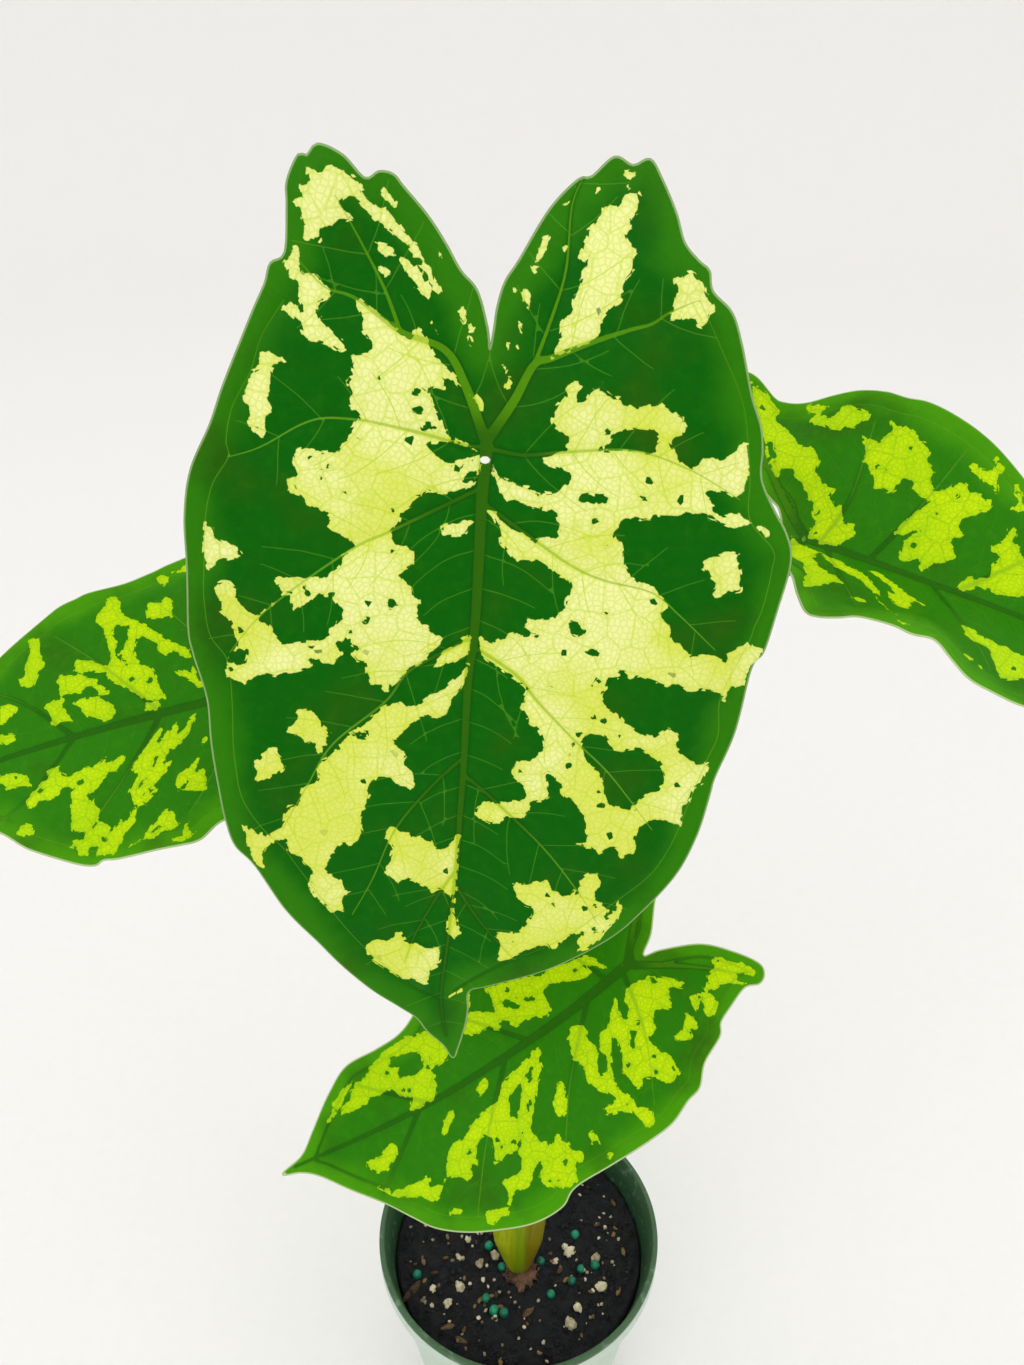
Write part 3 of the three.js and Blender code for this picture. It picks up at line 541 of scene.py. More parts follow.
# Pale patches and the green islands in them, as outlines in the photograph's pixels. A slash parts
# two outlines. A speck is (x, y, width).
FRONT_PALE = """
307,167 314,169 318,172 323,172 328,166 333,165 342,169 348,174 357,179 362,182 360,187 367,198
377,205 382,210 387,209 400,224 410,239 418,247 425,262 432,268 432,275 438,285 441,292 439,294
435,290 433,283 430,280 428,273 422,267 417,258 408,247 400,241 390,230 380,223 373,217 365,208
357,200 348,196 339,202 343,208 350,213 354,219 340,220 334,227 323,226 320,241 314,237 308,240
303,237 305,226 302,221 300,207 294,200 303,197 300,188 299,185 309,184 308,177 /
380,186 386,188 396,200 396,205 394,208 383,196 /
375,241 383,245 391,246 396,254 393,257 390,251 387,257 378,249 / 377,268 381,265 390,272 384,276 /
293,247 297,246 299,262 301,271 303,275 308,273 318,275 320,280 331,294 331,298 322,300 317,303
318,312 322,320 329,328 342,340 349,349 342,352 330,345 318,340 306,338 302,330 300,322 295,318
288,313 283,309 290,300 295,304 299,311 303,311 303,306 299,300 300,290 297,280 289,277 288,268
284,263 290,253 /
400,257 407,259 416,268 425,278 432,290 428,299 423,294 417,288 410,277 403,264 /
426,312 432,325 438,334 431,327 / 425,233 430,232 436,241 429,239 / 438,252 444,258 441,258 /
463,307 466,310 467,317 464,324 460,317 459,312 / 468,324 472,323 474,329 470,331 /
469,336 472,340 473,347 470,343 /
258,351 270,350 273,353 280,356 286,362 280,364 272,366 271,378 270,390 267,395 270,402 275,412
269,415 265,420 266,431 262,438 257,433 254,432 253,427 249,423 251,416 250,405 244,400 244,388
249,378 250,372 257,370 260,362 /
205,522 207,526 212,526 215,531 215,537 220,540 228,542 233,545 237,545 238,549 242,553 233,557
228,558 222,557 217,560 216,564 208,569 206,563 204,557 204,543 203,532 204,525 /
301,709 307,709 314,710 318,714 322,720 322,725 327,728 330,732 327,737 327,744 323,747 323,752
320,755 318,750 315,747 317,744 312,740 307,742 304,737 300,733 293,733 287,731 288,726 294,722
297,717 298,711 /
273,746 277,747 277,753 281,757 281,761 285,765 282,770 274,773 269,777 264,780 257,780 253,780
256,773 256,769 253,765 255,760 261,757 265,751 /
354,298 360,299 372,308 383,317 400,332 407,337 412,339 413,332 420,327 425,335 430,345 433,354
440,361 450,370 456,378 460,385 460,390 457,388 453,382 449,377 442,374 442,377 445,380 444,383
445,389 437,386 430,387 429,393 432,399 434,406 438,412 440,418 442,423 443,428 447,432 453,437
458,440 470,445 480,449 481,456 480,472 474,486 467,488 458,491 455,492 450,491 447,493 440,492
430,491 424,491 422,495 418,496 415,498 412,505 405,510 402,511 400,521 391,532 394,541 401,545
408,546 410,549 416,550 415,557 416,564 402,569 400,577 405,582 412,587 412,592 420,601 417,608
417,616 420,618 422,624 428,624 431,628 430,633 438,633 446,637 442,641 438,645 437,648 430,651
426,656 426,660 417,665 407,670 405,674 399,680 394,684 390,682 390,688 388,693 381,688 380,683
370,683 370,678 367,672 366,664 365,661 358,660 352,653 356,650 359,648 358,646 352,645 350,643
349,637 345,637 343,641 341,639 336,640 336,644 340,648 342,653 338,657 335,664 327,663 320,662
310,667 301,669 292,672 283,672 275,675 267,672 257,675 250,680 245,685 239,682 232,680 226,677
227,673 225,667 227,661 237,647 238,640 235,634 234,627 232,622 227,615 220,610 221,598 217,594
213,587 217,585 221,581 226,580 232,582 235,586 239,588 236,597 241,604 247,609 248,612 257,617
283,594 280,587 276,582 275,576 300,576 303,578 308,577 328,577 329,572 337,568 340,564 341,557
354,549 354,547 350,541 341,534 331,530 328,521 331,516 326,512 317,508 308,507 305,503 304,497
299,494 291,492 287,489 290,485 287,481 292,477 297,476 298,472 294,463 295,457 297,450 305,447
314,450 325,452 331,451 337,453 341,446 344,442 348,440 350,433 352,428 356,422 360,419 357,413
352,407 350,400 352,394 351,388 347,382 352,377 357,376 354,370 352,367 354,363 350,352 357,355
371,352 372,343 367,337 362,330 362,317 357,310 /
467,664 469,665 467,674 464,680 463,687 457,693 452,700 451,707 445,712 443,716 437,717 428,715
420,716 410,723 400,732 394,737 398,747 405,749 406,757 403,762 413,771 414,780 416,783 413,789
405,785 400,785 394,781 390,777 383,776 379,776 372,781 368,788 370,793 367,798 367,805 362,812
361,820 363,830 363,833 359,839 353,844 348,847 345,841 338,845 333,853 327,860 325,868 327,871
334,875 342,880 344,887 351,890 344,896 343,902 345,908 343,911 336,910 334,914 330,910 319,900
312,891 309,884 311,881 311,876 315,872 313,868 310,865 304,862 302,857 297,854 292,854 287,850
287,847 286,842 283,840 274,838 267,835 274,830 280,827 284,820 285,814 288,810 289,805 297,806
299,800 301,793 303,788 307,786 314,784 318,779 320,774 317,772 317,767 320,763 330,755 338,747
342,742 350,733 363,725 373,715 383,707 390,705 396,703 403,703 406,706 415,706 422,701 430,694
438,691 445,687 453,679 462,672 /
243,824 249,824 250,828 257,834 262,833 267,836 274,838 273,842 269,846 263,852 263,860 264,867
261,866 257,864 252,857 248,845 245,833 /
442,527 444,524 450,523 457,524 463,522 468,521 475,520 471,524 468,528 466,532 462,535 447,535
443,533 /
471,636 470,640 470,652 460,658 449,662 442,666 434,668 437,662 436,660 443,652 450,648 460,642
463,638 /
390,827 393,827 397,830 398,832 410,832 412,836 416,837 422,835 426,838 432,840 434,846 437,848
446,848 450,844 454,840 458,834 460,835 459,840 458,850 458,862 457,875 456,890 454,898 454,913
457,920 457,924 461,931 455,938 450,935 447,930 448,917 451,910 451,895 447,893 444,889 438,889
432,892 427,886 420,883 414,879 408,877 402,878 397,882 392,877 386,872 385,867 390,860 391,852
395,848 390,844 384,838 387,830 /
366,948 368,944 375,939 382,939 386,941 389,938 395,937 397,931 401,931 404,937 407,943 417,943
427,947 441,947 441,952 440,960 436,967 431,970 428,977 428,982 425,985 420,981 411,978 402,978
390,971 375,961 367,952 / 446,999 453,993 461,988 464,990 458,992 452,997 /
513,882 517,880 520,883 528,882 535,880 542,881 547,879 550,884 552,889 558,891 563,895 570,895
575,890 580,884 579,880 583,876 589,872 596,872 597,877 600,881 597,889 595,891 594,900 600,902
608,910 604,916 606,919 610,916 614,913 616,905 619,901 622,907 618,917 613,922 604,931 600,937
595,942 587,948 577,951 577,949 581,947 577,941 581,937 583,932 577,934 570,935 562,940 555,948
552,949 547,944 537,945 525,950 517,955 510,959 495,961 498,956 498,952 500,944 498,939 494,936
497,932 503,931 510,932 520,930 525,924 527,920 534,913 532,906 525,904 517,897 517,893 514,890
512,886 /
701,567 703,560 711,554 717,555 724,552 733,551 737,553 740,552 737,557 739,568 740,580 741,590
735,591 727,590 720,595 715,596 711,594 716,587 716,582 710,577 707,571 /
757,527 767,526 770,530 771,537 765,538 762,533 /
476,394 478,397 482,403 483,410 482,414 480,412 480,407 476,401 474,397 /
468,391 471,395 471,399 469,395 / 510,377 514,382 512,386 506,389 505,387 508,381 /
628,192 638,192 640,203 637,212 631,220 632,228 625,234 627,240 633,247 638,249 633,258 632,270
626,278 620,287 622,292 620,302 612,307 604,317 601,323 602,328 600,335 591,342 575,348 560,354
552,359 556,343 561,337 562,322 567,315 572,310 572,300 577,290 582,280 582,273 587,267 590,257
585,262 580,257 582,247 588,238 588,230 597,222 602,215 603,207 607,204 610,207 618,207 622,200 /
673,279 682,276 687,272 692,272 696,278 703,284 705,293 712,303 714,309 709,314 707,321 702,327
698,326 696,320 687,317 671,320 672,312 675,300 677,290 /
562,205 567,206 570,200 575,196 564,201 / 595,194 604,187 597,188 / 621,172 637,170 636,175 632,179 /
627,186 635,191 630,188 / 543,238 550,237 542,257 537,260 536,257 540,247 / 531,266 539,268 535,273 /
511,287 518,289 516,298 / 521,288 531,292 530,310 524,300 / 516,318 523,322 522,334 /
505,342 510,344 508,350 / 516,345 523,347 520,353 / 500,365 507,366 505,373 / 563,246 568,246 565,251 /
762,649 760,655 755,661 751,663 747,673 744,678 743,683 741,689 737,687 733,685 729,685 729,688
726,692 725,700 723,700 722,695 715,692 707,689 700,688 693,691 687,690 677,682 669,683 667,685
660,683 648,678 640,674 635,675 630,678 622,674 617,677 608,678 606,684 607,687 604,690 601,692
601,697 604,703 612,710 618,714 624,722 633,726 641,733 653,736 662,731 668,728 677,734 678,739
676,743 679,751 692,760 697,765 702,765 703,769 707,762 710,763 707,769 705,773 702,783 700,784
693,789 690,797 688,804 684,806 681,811 683,815 680,826 675,823 667,820 660,818 651,821 642,824
638,828 637,833 634,837 636,845 633,852 627,853 622,858 619,857 618,851 615,847 610,846 599,852
591,847 585,847 578,844 572,841 580,842 586,841 588,835 586,830 585,820 583,814 578,809 571,798
565,796 561,792 561,787 559,780 557,781 556,776 548,771 544,773 547,783 548,788 550,797 546,797
542,800 533,800 530,802 529,810 525,813 522,818 513,817 505,817 501,822 495,822 490,823 480,817
476,813 476,807 482,805 484,802 493,802 503,803 510,801 517,799 522,799 526,796 524,786 517,780
511,773 510,768 515,766 517,762 522,758 528,760 532,758 537,753 542,751 544,748 544,740 542,735
537,728 530,722 528,717 525,712 521,706 525,702 524,697 526,693 530,692 525,687 517,680 507,673
497,667 487,661 481,655 480,637 485,640 490,642 495,642 497,638 505,637 510,633 518,632 525,635
531,633 537,636 538,632 523,626 527,622 528,617 538,619 548,618 553,617 557,612 566,608 565,600
568,595 571,587 570,582 565,577 560,576 555,572 552,568 547,566 542,562 537,560 530,560 525,559
519,560 517,563 512,557 507,550 501,544 499,538 502,535 498,525 493,517 489,511 488,505 491,510
497,513 503,520 508,525 513,529 522,533 530,538 537,543 539,538 545,537 553,537 557,536 559,531
562,525 557,520 556,513 552,510 540,508 530,506 518,502 511,500 506,503 505,498 500,491 497,483
493,473 491,467 492,464 497,472 501,477 510,480 520,485 528,487 532,490 543,492 553,493 557,492
560,488 563,486 568,484 570,477 569,473 563,472 562,469 553,467 543,461 537,459 569,450 567,447
568,440 567,435 561,430 557,428 552,423 552,418 554,415 553,410 557,407 559,402 565,399 566,393
563,390 567,384 572,380 578,380 579,383 583,387 580,390 577,394 577,402 580,403 587,400 588,396
591,389 595,390 598,386 602,382 599,388 607,392 613,397 622,398 623,403 629,405 638,408 650,405
660,402 667,407 677,414 684,417 683,423 685,427 683,433 677,434 669,440 672,447 677,454 680,462
690,469 698,468 702,462 705,457 712,457 720,461 729,458 730,455 737,450 737,445 743,441 747,444
748,452 750,460 748,473 746,483 745,487 746,492 742,494 738,497 733,496 724,491 715,491 708,490
705,492 707,495 712,499 713,505 713,511 718,513 724,516 730,514 738,514 743,519 750,522 750,524
747,524 740,525 727,526 720,522 713,518 707,515 697,513 687,512 682,513 680,516 660,515 653,516
650,518 625,518 622,520 619,527 615,532 614,536 617,540 621,540 624,546 624,551 622,552 623,557
623,564 630,572 631,575 637,581 645,581 653,585 656,593 662,598 668,604 668,607 662,611 660,613
661,617 672,627 670,637 673,642 680,645 682,650 689,655 708,655 717,658 725,662 728,658 727,653
735,650 738,647 744,646 749,642 752,647
"""
FRONT_ISLANDS = """
283,594 291,593 292,603 294,610 302,606 309,602 318,594 328,597 330,592 336,592 333,597 337,603
342,608 343,616 337,622 331,627 329,634 325,637 317,640 300,641 282,642 277,637 272,632 271,626
265,623 257,619 /
237,647 241,647 248,649 248,655 246,662 239,664 228,663 227,660 / 385,601 390,598 395,599 397,605
390,609 / 367,616 370,617 368,621 365,622 363,621 / 310,659 314,657 319,658 320,661 316,662 311,661 /
426,444 428,442 445,442 458,445 470,447 480,450 480,454 472,457 463,459 453,462 447,462 443,460
440,456 433,453 430,450 /
452,467 460,465 472,459 467,464 460,470 456,470 / 463,482 463,478 468,472 477,471 472,482 471,480
467,483 /
421,424 424,422 429,422 436,426 442,430 436,430 430,428 426,431 421,430 / 415,386 422,389 423,391
418,395 412,394 / 412,409 415,407 421,406 424,410 421,413 414,411 / 322,467 331,463 330,467 323,469 /
351,735 354,732 360,729 362,731 369,731 367,738 362,737 357,736 353,738 /
592,732 602,734 607,737 610,742 615,749 622,751 625,749 630,748 640,748 645,752 650,753 657,758
662,766 664,777 664,783 659,785 658,792 652,789 650,793 646,793 640,798 638,801 637,805 631,806
629,809 613,806 609,802 605,792 605,787 601,778 601,771 595,769 590,766 583,756 581,747 584,738
588,733 /
597,451 601,447 610,441 613,436 622,432 627,428 632,427 640,429 652,430 661,438 655,447 655,455
637,451 /
585,650 593,647 598,652 597,657 592,653 589,652 / 618,672 620,668 625,668 629,670 628,673 623,673 /
595,680 597,677 601,680 598,682 / 582,493 586,491 593,494 605,495 607,497 604,502 601,503 582,502
578,500 / 589,522 591,518 594,517 600,518 599,520 593,522 / 565,624 570,620 576,620 579,622 580,626
585,630 580,635 575,635 571,633 571,628 / 637,495 638,493 645,496 647,500 642,500
"""
FRONT_SPECKS = [
    (358, 440, 3), (351, 436, 3), (345, 493, 3), (372, 497, 3), (361, 501, 2), (311, 458, 3),
    (321, 478, 2), (379, 378, 2), (371, 387, 2), (364, 404, 2), (257, 428, 3), (304, 587, 3),
    (308, 593, 4), (343, 629, 3), (351, 631, 2), (241, 630, 4), (239, 627, 2), (231, 669, 3),
    (322, 657, 2), (393, 510, 4), (393, 551, 3), (351, 537, 3), (339, 747, 3), (285, 840, 4),
    (577, 569, 4), (577, 524, 2), (540, 494, 3), (608, 544, 3), (605, 614, 4), (552, 685, 3),
    (591, 684, 3), (593, 716, 4), (603, 720, 4), (574, 745, 3), (570, 755, 3), (569, 765, 5),
    (520, 771, 4), (598, 791, 3), (488, 805, 2), (620, 735, 2), (607, 431, 5), (513, 941, 4),
    (553, 904, 3), (576, 892, 4), (596, 906, 4), (594, 928, 3), (596, 933, 3), (739, 656, 2),
]
LEFT_PALE = """
29,641 40,637 41,655 44,662 47,667 40,673 38,679 34,688 28,690 20,685 19,680 25,677 27,665 30,652 /
107,598 115,597 122,602 121,613 132,619 148,627 167,640 190,649 192,658 187,660 173,651 167,656
160,652 157,643 150,640 143,637 137,640 135,655 140,664 153,669 157,677 162,690 166,699 153,701
143,698 120,685 109,680 107,673 93,672 74,673 75,665 77,660 90,661 100,664 109,667 112,657 107,643
104,628 97,622 100,613 104,607 /
57,682 62,676 80,676 98,680 100,686 110,692 109,695 100,696 97,688 87,687 84,694 70,694 62,696
60,687 / 45,707 58,700 65,699 63,707 68,715 76,722 58,723 55,726 52,724 51,715 /
72,704 87,699 100,698 112,705 118,712 112,719 103,721 88,717 82,713 82,709 /
0,706 10,704 17,707 17,713 10,720 7,725 0,726 / 0,736 17,735 16,740 8,746 0,743 /
146,703 160,704 159,708 151,712 145,710 / 0,777 15,773 27,775 29,781 33,785 32,788 18,787 9,791
4,787 0,783 /
25,801 31,793 36,788 41,782 47,780 48,770 55,768 60,766 60,773 70,778 83,770 97,766 107,758
108,765 117,759 126,753 124,762 117,772 110,773 102,783 98,790 90,794 86,800 94,799 93,804
100,809 98,817 93,828 100,822 108,825 112,832 118,825 122,820 124,825 131,817 134,806 139,808
136,822 127,832 122,840 118,850 113,855 97,856 96,850 100,846 90,848 88,855 78,856 77,848 69,847
73,842 86,838 84,832 76,834 72,829 73,815 70,812 72,803 71,793 76,790 71,787 64,788 58,797 50,801
40,802 33,808 26,808 /
132,763 143,753 147,745 156,734 162,728 165,728 158,740 150,748 160,742 168,733 178,722 180,727
178,735 185,729 192,716 196,714 195,722 188,735 183,742 176,749 170,750 166,757 165,765 172,762
168,772 162,778 158,783 150,790 148,795 156,789 159,790 152,798 147,806 144,803 139,808 134,806
132,800 129,792 135,782 138,775 133,771 /
175,785 180,775 192,767 200,753 199,759 195,772 205,770 207,783 205,791 183,791 188,782 179,792 /
201,747 203,740 208,737 204,748 /
129,847 142,837 148,830 158,820 163,812 168,810 175,815 176,822 180,825 172,830 162,831 157,837
143,839 / 173,840 182,837 183,828 189,822 189,833 197,832 191,839 180,841 /
19,825 27,823 35,828 33,834 25,837 18,834 / 157,579 160,576 168,576 167,585 164,587 160,583 /
148,603 152,602 161,602 166,597 172,600 174,607 172,617 160,619 149,620 147,615 /
170,574 180,570 188,563 190,572 180,572 / 175,672 178,670 192,673 194,667 197,675 203,687 198,688
194,682 180,677
"""
LEFT_ISLANDS = """
113,632 117,626 129,627 128,640 123,650 121,656 126,660 131,666 125,664 118,657 116,652 119,647
117,640 114,636 / 151,768 157,757 159,757 153,768 / 137,789 146,779 148,780 139,789 /
144,797 149,791 151,792 146,797 / 151,832 159,826 161,827 153,833
"""
LEFT_SPECKS = [(132, 680, 5), (150, 681, 5), (81, 783, 6), (41, 790, 5), (105, 839, 5)]
RIGHT_PALE = """
750,383 755,387 762,391 767,394 769,399 774,404 778,410 779,414 776,416 777,421 782,427 788,433
792,439 797,447 810,448 816,452 818,457 820,462 817,467 815,472 818,478 823,485 828,489 835,490
829,497 831,502 836,507 842,506 842,512 842,522 847,525 855,525 854,530 857,534 852,539 843,542
837,547 832,547 830,544 820,544 818,539 808,538 810,530 815,524 817,518 819,512 816,519 812,517
812,504 808,499 807,493 800,483 795,477 792,470 782,470 779,475 781,484 777,480 773,471 769,463
766,453 765,444 763,437 762,428 758,421 755,408 752,395 /
805,407 810,405 827,406 830,407 823,411 822,415 827,418 834,417 839,412 842,407 847,405 857,409
865,412 870,415 867,420 860,422 854,430 849,428 845,429 840,432 831,431 825,427 812,426 810,422
812,419 817,417 815,414 808,412 /
860,435 867,437 873,440 879,445 883,440 888,435 893,431 890,422 897,428 907,427 912,432 917,437
918,442 925,445 930,452 929,457 926,461 931,467 934,473 930,478 930,485 934,490 948,491 954,485
960,482 966,486 968,495 981,496 982,501 991,502 992,507 988,513 979,513 977,516 969,516 962,520
958,528 962,533 963,536 960,539 954,539 949,543 952,550 956,559 950,562 934,565 927,570 922,572
919,566 919,559 906,562 898,560 901,550 902,542 911,537 920,532 914,530 908,534 902,536 894,533
902,525 908,517 914,513 931,502 927,498 922,498 913,493 911,482 902,481 897,485 893,494 886,494
882,490 872,491 874,482 871,474 869,466 862,461 866,457 866,450 864,445 /
970,466 973,464 978,466 978,470 988,471 994,470 996,464 994,460 996,458 1001,463 1010,476 1004,474
999,474 997,478 998,488 996,495 994,494 991,486 987,484 983,486 980,480 977,475 970,471 /
1015,486 1018,486 1022,494 1023,502 1026,510 1018,514 1011,512 1010,510 1015,506 1018,501 1015,494 /
1014,528 1017,533 1014,538 1010,540 1014,544 1020,550 1020,557 1026,558 1026,597 1010,598 1002,595
994,594 988,590 978,587 970,590 955,590 962,582 967,578 986,578 990,576 990,568 992,565 999,561
998,557 991,552 990,546 1001,544 1006,539 1007,531 /
962,626 967,626 974,631 978,636 988,640 996,646 1004,647 1014,654 1026,660 1026,680 1001,680
996,672 993,662 991,653 985,647 974,641 964,636 965,632 / 964,655 974,661 972,663 /
976,665 982,667 981,670 /
791,536 795,540 807,548 818,553 812,559 816,562 818,568 828,573 837,577 843,584 833,583 820,586
803,588 805,580 806,573 802,563 790,557 791,547 /
820,553 830,557 838,560 847,567 857,572 867,578 872,585 877,590 878,597 868,590 863,584 855,578
843,572 833,565 823,557 /
867,572 877,573 889,581 900,590 913,600 924,606 925,609 916,603 910,602 910,609 903,610 895,606
890,600 886,592 893,595 887,586 877,578 / 870,590 874,594 879,602 889,610 897,616 888,611 878,603 /
893,618 903,622 913,629 902,625 / 852,597 860,598 868,603 859,602
"""
RIGHT_ISLANDS = """
766,444 772,443 774,449 777,457 774,463 770,460 767,452
"""
RIGHT_SPECKS = [(956, 497, 5), (936, 515, 5), (913, 546, 6), (877, 468, 3), (885, 471, 3), (910, 450, 3)]
LOWER_PALE = """
428,1030 450,1049 449,1057 443,1063 437,1066 432,1070 435,1075 434,1080 437,1083 436,1092 435,1100
432,1104 425,1100 424,1105 418,1109 411,1110 410,1107 412,1098 405,1096 401,1098 397,1093 392,1089
383,1092 377,1097 371,1098 369,1104 362,1106 356,1111 348,1112 340,1116 343,1107 349,1100 352,1092
356,1081 363,1080 368,1072 371,1065 378,1060 383,1052 393,1045 405,1037 417,1035 423,1031 /
352,1081 353,1083 348,1093 342,1102 340,1109 328,1123 327,1121 334,1109 332,1105 340,1093 345,1087 /
393,1143 397,1146 397,1155 392,1162 389,1170 378,1173 368,1167 367,1163 372,1159 380,1157 386,1148 /
449,1112 454,1111 456,1116 450,1127 447,1133 443,1136 442,1132 444,1122 /
486,1077 490,1082 489,1088 480,1096 476,1090 480,1082 /
538,1047 542,1051 540,1060 543,1068 538,1082 536,1100 533,1117 530,1128 537,1137 540,1142 547,1142
552,1148 554,1137 558,1134 564,1143 569,1143 572,1150 583,1152 584,1160 577,1163 575,1170 578,1180
570,1187 555,1188 545,1185 540,1177 543,1167 540,1160 535,1170 532,1170 533,1178 527,1187 517,1191
512,1197 510,1205 508,1215 501,1217 494,1225 488,1223 485,1212 497,1209 508,1205 510,1197 507,1190
502,1182 507,1178 515,1175 522,1168 522,1158 517,1152 507,1153 501,1160 495,1163 494,1153 492,1140
484,1135 477,1142 477,1150 477,1160 478,1168 473,1175 468,1182 462,1177 455,1176 448,1178 443,1187
442,1193 438,1200 432,1202 422,1197 413,1199 397,1196 388,1193 377,1188 379,1185 388,1189 398,1191
407,1187 413,1183 423,1179 427,1176 431,1178 430,1185 433,1187 442,1183 445,1177 448,1162 450,1149
455,1143 465,1137 470,1127 478,1118 483,1112 497,1103 501,1093 503,1083 508,1078 515,1070 523,1062
530,1057 532,1052 / 450,1209 463,1209 462,1214 450,1215 /
485,989 500,984 520,978 532,976 541,977 545,971 550,967 570,962 583,956 592,957 598,962 608,967
607,970 597,967 582,965 592,972 588,976 580,979 568,981 560,981 557,984 547,985 542,992 547,999
549,1005 551,1010 547,1017 537,1017 525,1020 517,1027 508,1022 500,1021 495,1022 502,1026 500,1031
490,1027 483,1030 478,1034 472,1035 464,1033 466,1020 468,1011 495,1013 493,1000 /
467,995 471,992 470,1008 466,1010 /
569,1027 574,1025 583,1025 587,1031 587,1037 595,1045 599,1053 596,1061 597,1068 601,1075 607,1073
608,1065 606,1057 602,1052 599,1043 601,1032 607,1029 610,1020 612,1007 615,997 618,1003 620,1013
624,1023 628,1017 630,1010 625,1000 627,988 632,985 637,982 645,980 649,976 653,984 658,981
653,976 668,978 685,982 683,988 670,988 668,995 672,1002 670,1010 660,1008 653,1012 653,1020
656,1030 649,1037 652,1045 663,1052 672,1057 677,1065 680,1073 676,1077 672,1084 665,1084 657,1077
643,1078 642,1087 635,1088 630,1080 622,1070 622,1060 620,1048 617,1038 613,1035 612,1043 611,1057
613,1073 617,1087 623,1092 633,1097 638,1107 653,1110 654,1117 657,1121 652,1127 645,1127 638,1118
632,1112 620,1112 607,1115 604,1108 613,1103 616,1098 608,1093 600,1092 588,1083 586,1072 578,1060
573,1060 571,1048 567,1040 570,1033 /
717,956 723,957 730,962 742,962 750,967 755,972 753,976 743,973 735,974 738,980 747,984 740,985
728,984 720,985 715,989 707,991 703,988 709,982 707,977 711,972 715,967 712,960 /
688,996 698,994 700,1002 699,1013 696,1012 692,1002 / 701,993 710,994 718,1002 717,1008 713,1015
709,1017 705,1012 702,1002 / 685,1014 689,1013 699,1022 697,1029 688,1030 692,1035 691,1039
677,1040 674,1037 681,1031 684,1022 /
557,1085 562,1082 565,1087 567,1100 566,1112 561,1119 556,1115 552,1105 555,1095 /
588,1133 594,1131 603,1147 595,1140 592,1144 / 603,1160 610,1152 613,1153 610,1158
"""
LOWER_ISLANDS = """
390,1057 397,1057 407,1053 420,1053 423,1060 424,1067 418,1073 408,1077 400,1077 398,1072 400,1067
390,1067 /
521,1084 522,1093 520,1107 517,1118 512,1117 509,1105 510,1097 515,1088 / 530,1100 532,1103
529,1112 527,1107 / 525,1077 530,1068 534,1065 532,1077 530,1083 / 523,1132 520,1147 518,1148
521,1138 / 472,1162 478,1166 474,1172 471,1168 / 500,1001 508,1000 520,1005 522,1008 512,1009
503,1005 / 522,999 530,997 535,995 535,1000 527,1001 / 630,1030 637,1030 635,1040 635,1049 629,1049
630,1040
"""
LOWER_SPECKS = [
    (432, 1058, 4), (428, 1067, 3), (387, 1074, 4), (403, 1090, 4), (409, 1091, 3), (514, 1142, 4),
    (502, 1147, 4), (470, 1152, 4), (566, 1163, 5), (548, 1161, 3), (558, 1180, 3), (550, 1181, 3),
    (518, 997, 3), (507, 990, 4), (575, 971, 4), (638, 1023, 4), (654, 1057, 4), (656, 1072, 4),
    (628, 1065, 4), (628, 1105, 4),
]
PALE = {"front": FRONT_PALE, "left": LEFT_PALE, "right": RIGHT_PALE, "lower": LOWER_PALE}
ISLANDS = {"front": FRONT_ISLANDS, "left": LEFT_ISLANDS, "right": RIGHT_ISLANDS, "lower": LOWER_ISLANDS}
SPECKS = {"front": FRONT_SPECKS, "left": LEFT_SPECKS, "right": RIGHT_SPECKS, "lower": LOWER_SPECKS}
# How far from its outline a patch's depth is worked out.
PATTERN_REACH = 6.0


def main_veins(name):
    """The leaf's midrib and laterals as smooth rows of (across, along)."""
    return [smooth_curve(np.array(path, float)[:, ::-1], VEIN_SAMPLE, closed=False) for path in VEINS[name]]


def edge_veins(name):
    """The thin veins that follow the margin, as rows of (across, along)."""
    if name == "front":
        return [smooth_curve(FRONT.cast(pixels(line)), VEIN_SAMPLE, closed=False)
                for line in FRONT_EDGE_VEINS_SEEN]
    loop = smooth_curve(LEAVES[name].outline, 2.0, closed=True)
    ahead = np.roll(loop, -1, 0) - np.roll(loop, 1, 0)
    inward = np.column_stack([ahead[:, 1], -ahead[:, 0]]) / np.linalg.norm(ahead, axis=1)[:, None]
    if not inside(loop[:1] + 0.5 * inward[:1], loop)[0]:
        inward = -inward
    inner = loop + EDGE_VEIN_INSET * inward
    kept = inner[line_distance(inner, loop, 9, closed=True) > EDGE_VEIN_INSET - 0.4]
    breaks = np.flatnonzero(np.linalg.norm(np.diff(kept, axis=0), axis=1) > 6) + 1
    return [smooth_curve(part, VEIN_SAMPLE, closed=False)
            for part in np.split(kept, breaks) if len(part) > 3]


def tapered(line, start, end):
    """The line with a half-width that shrinks from start to end."""
    share = np.linspace(0, 1, len(line))
    return np.column_stack([line, start + (end - start) * share])


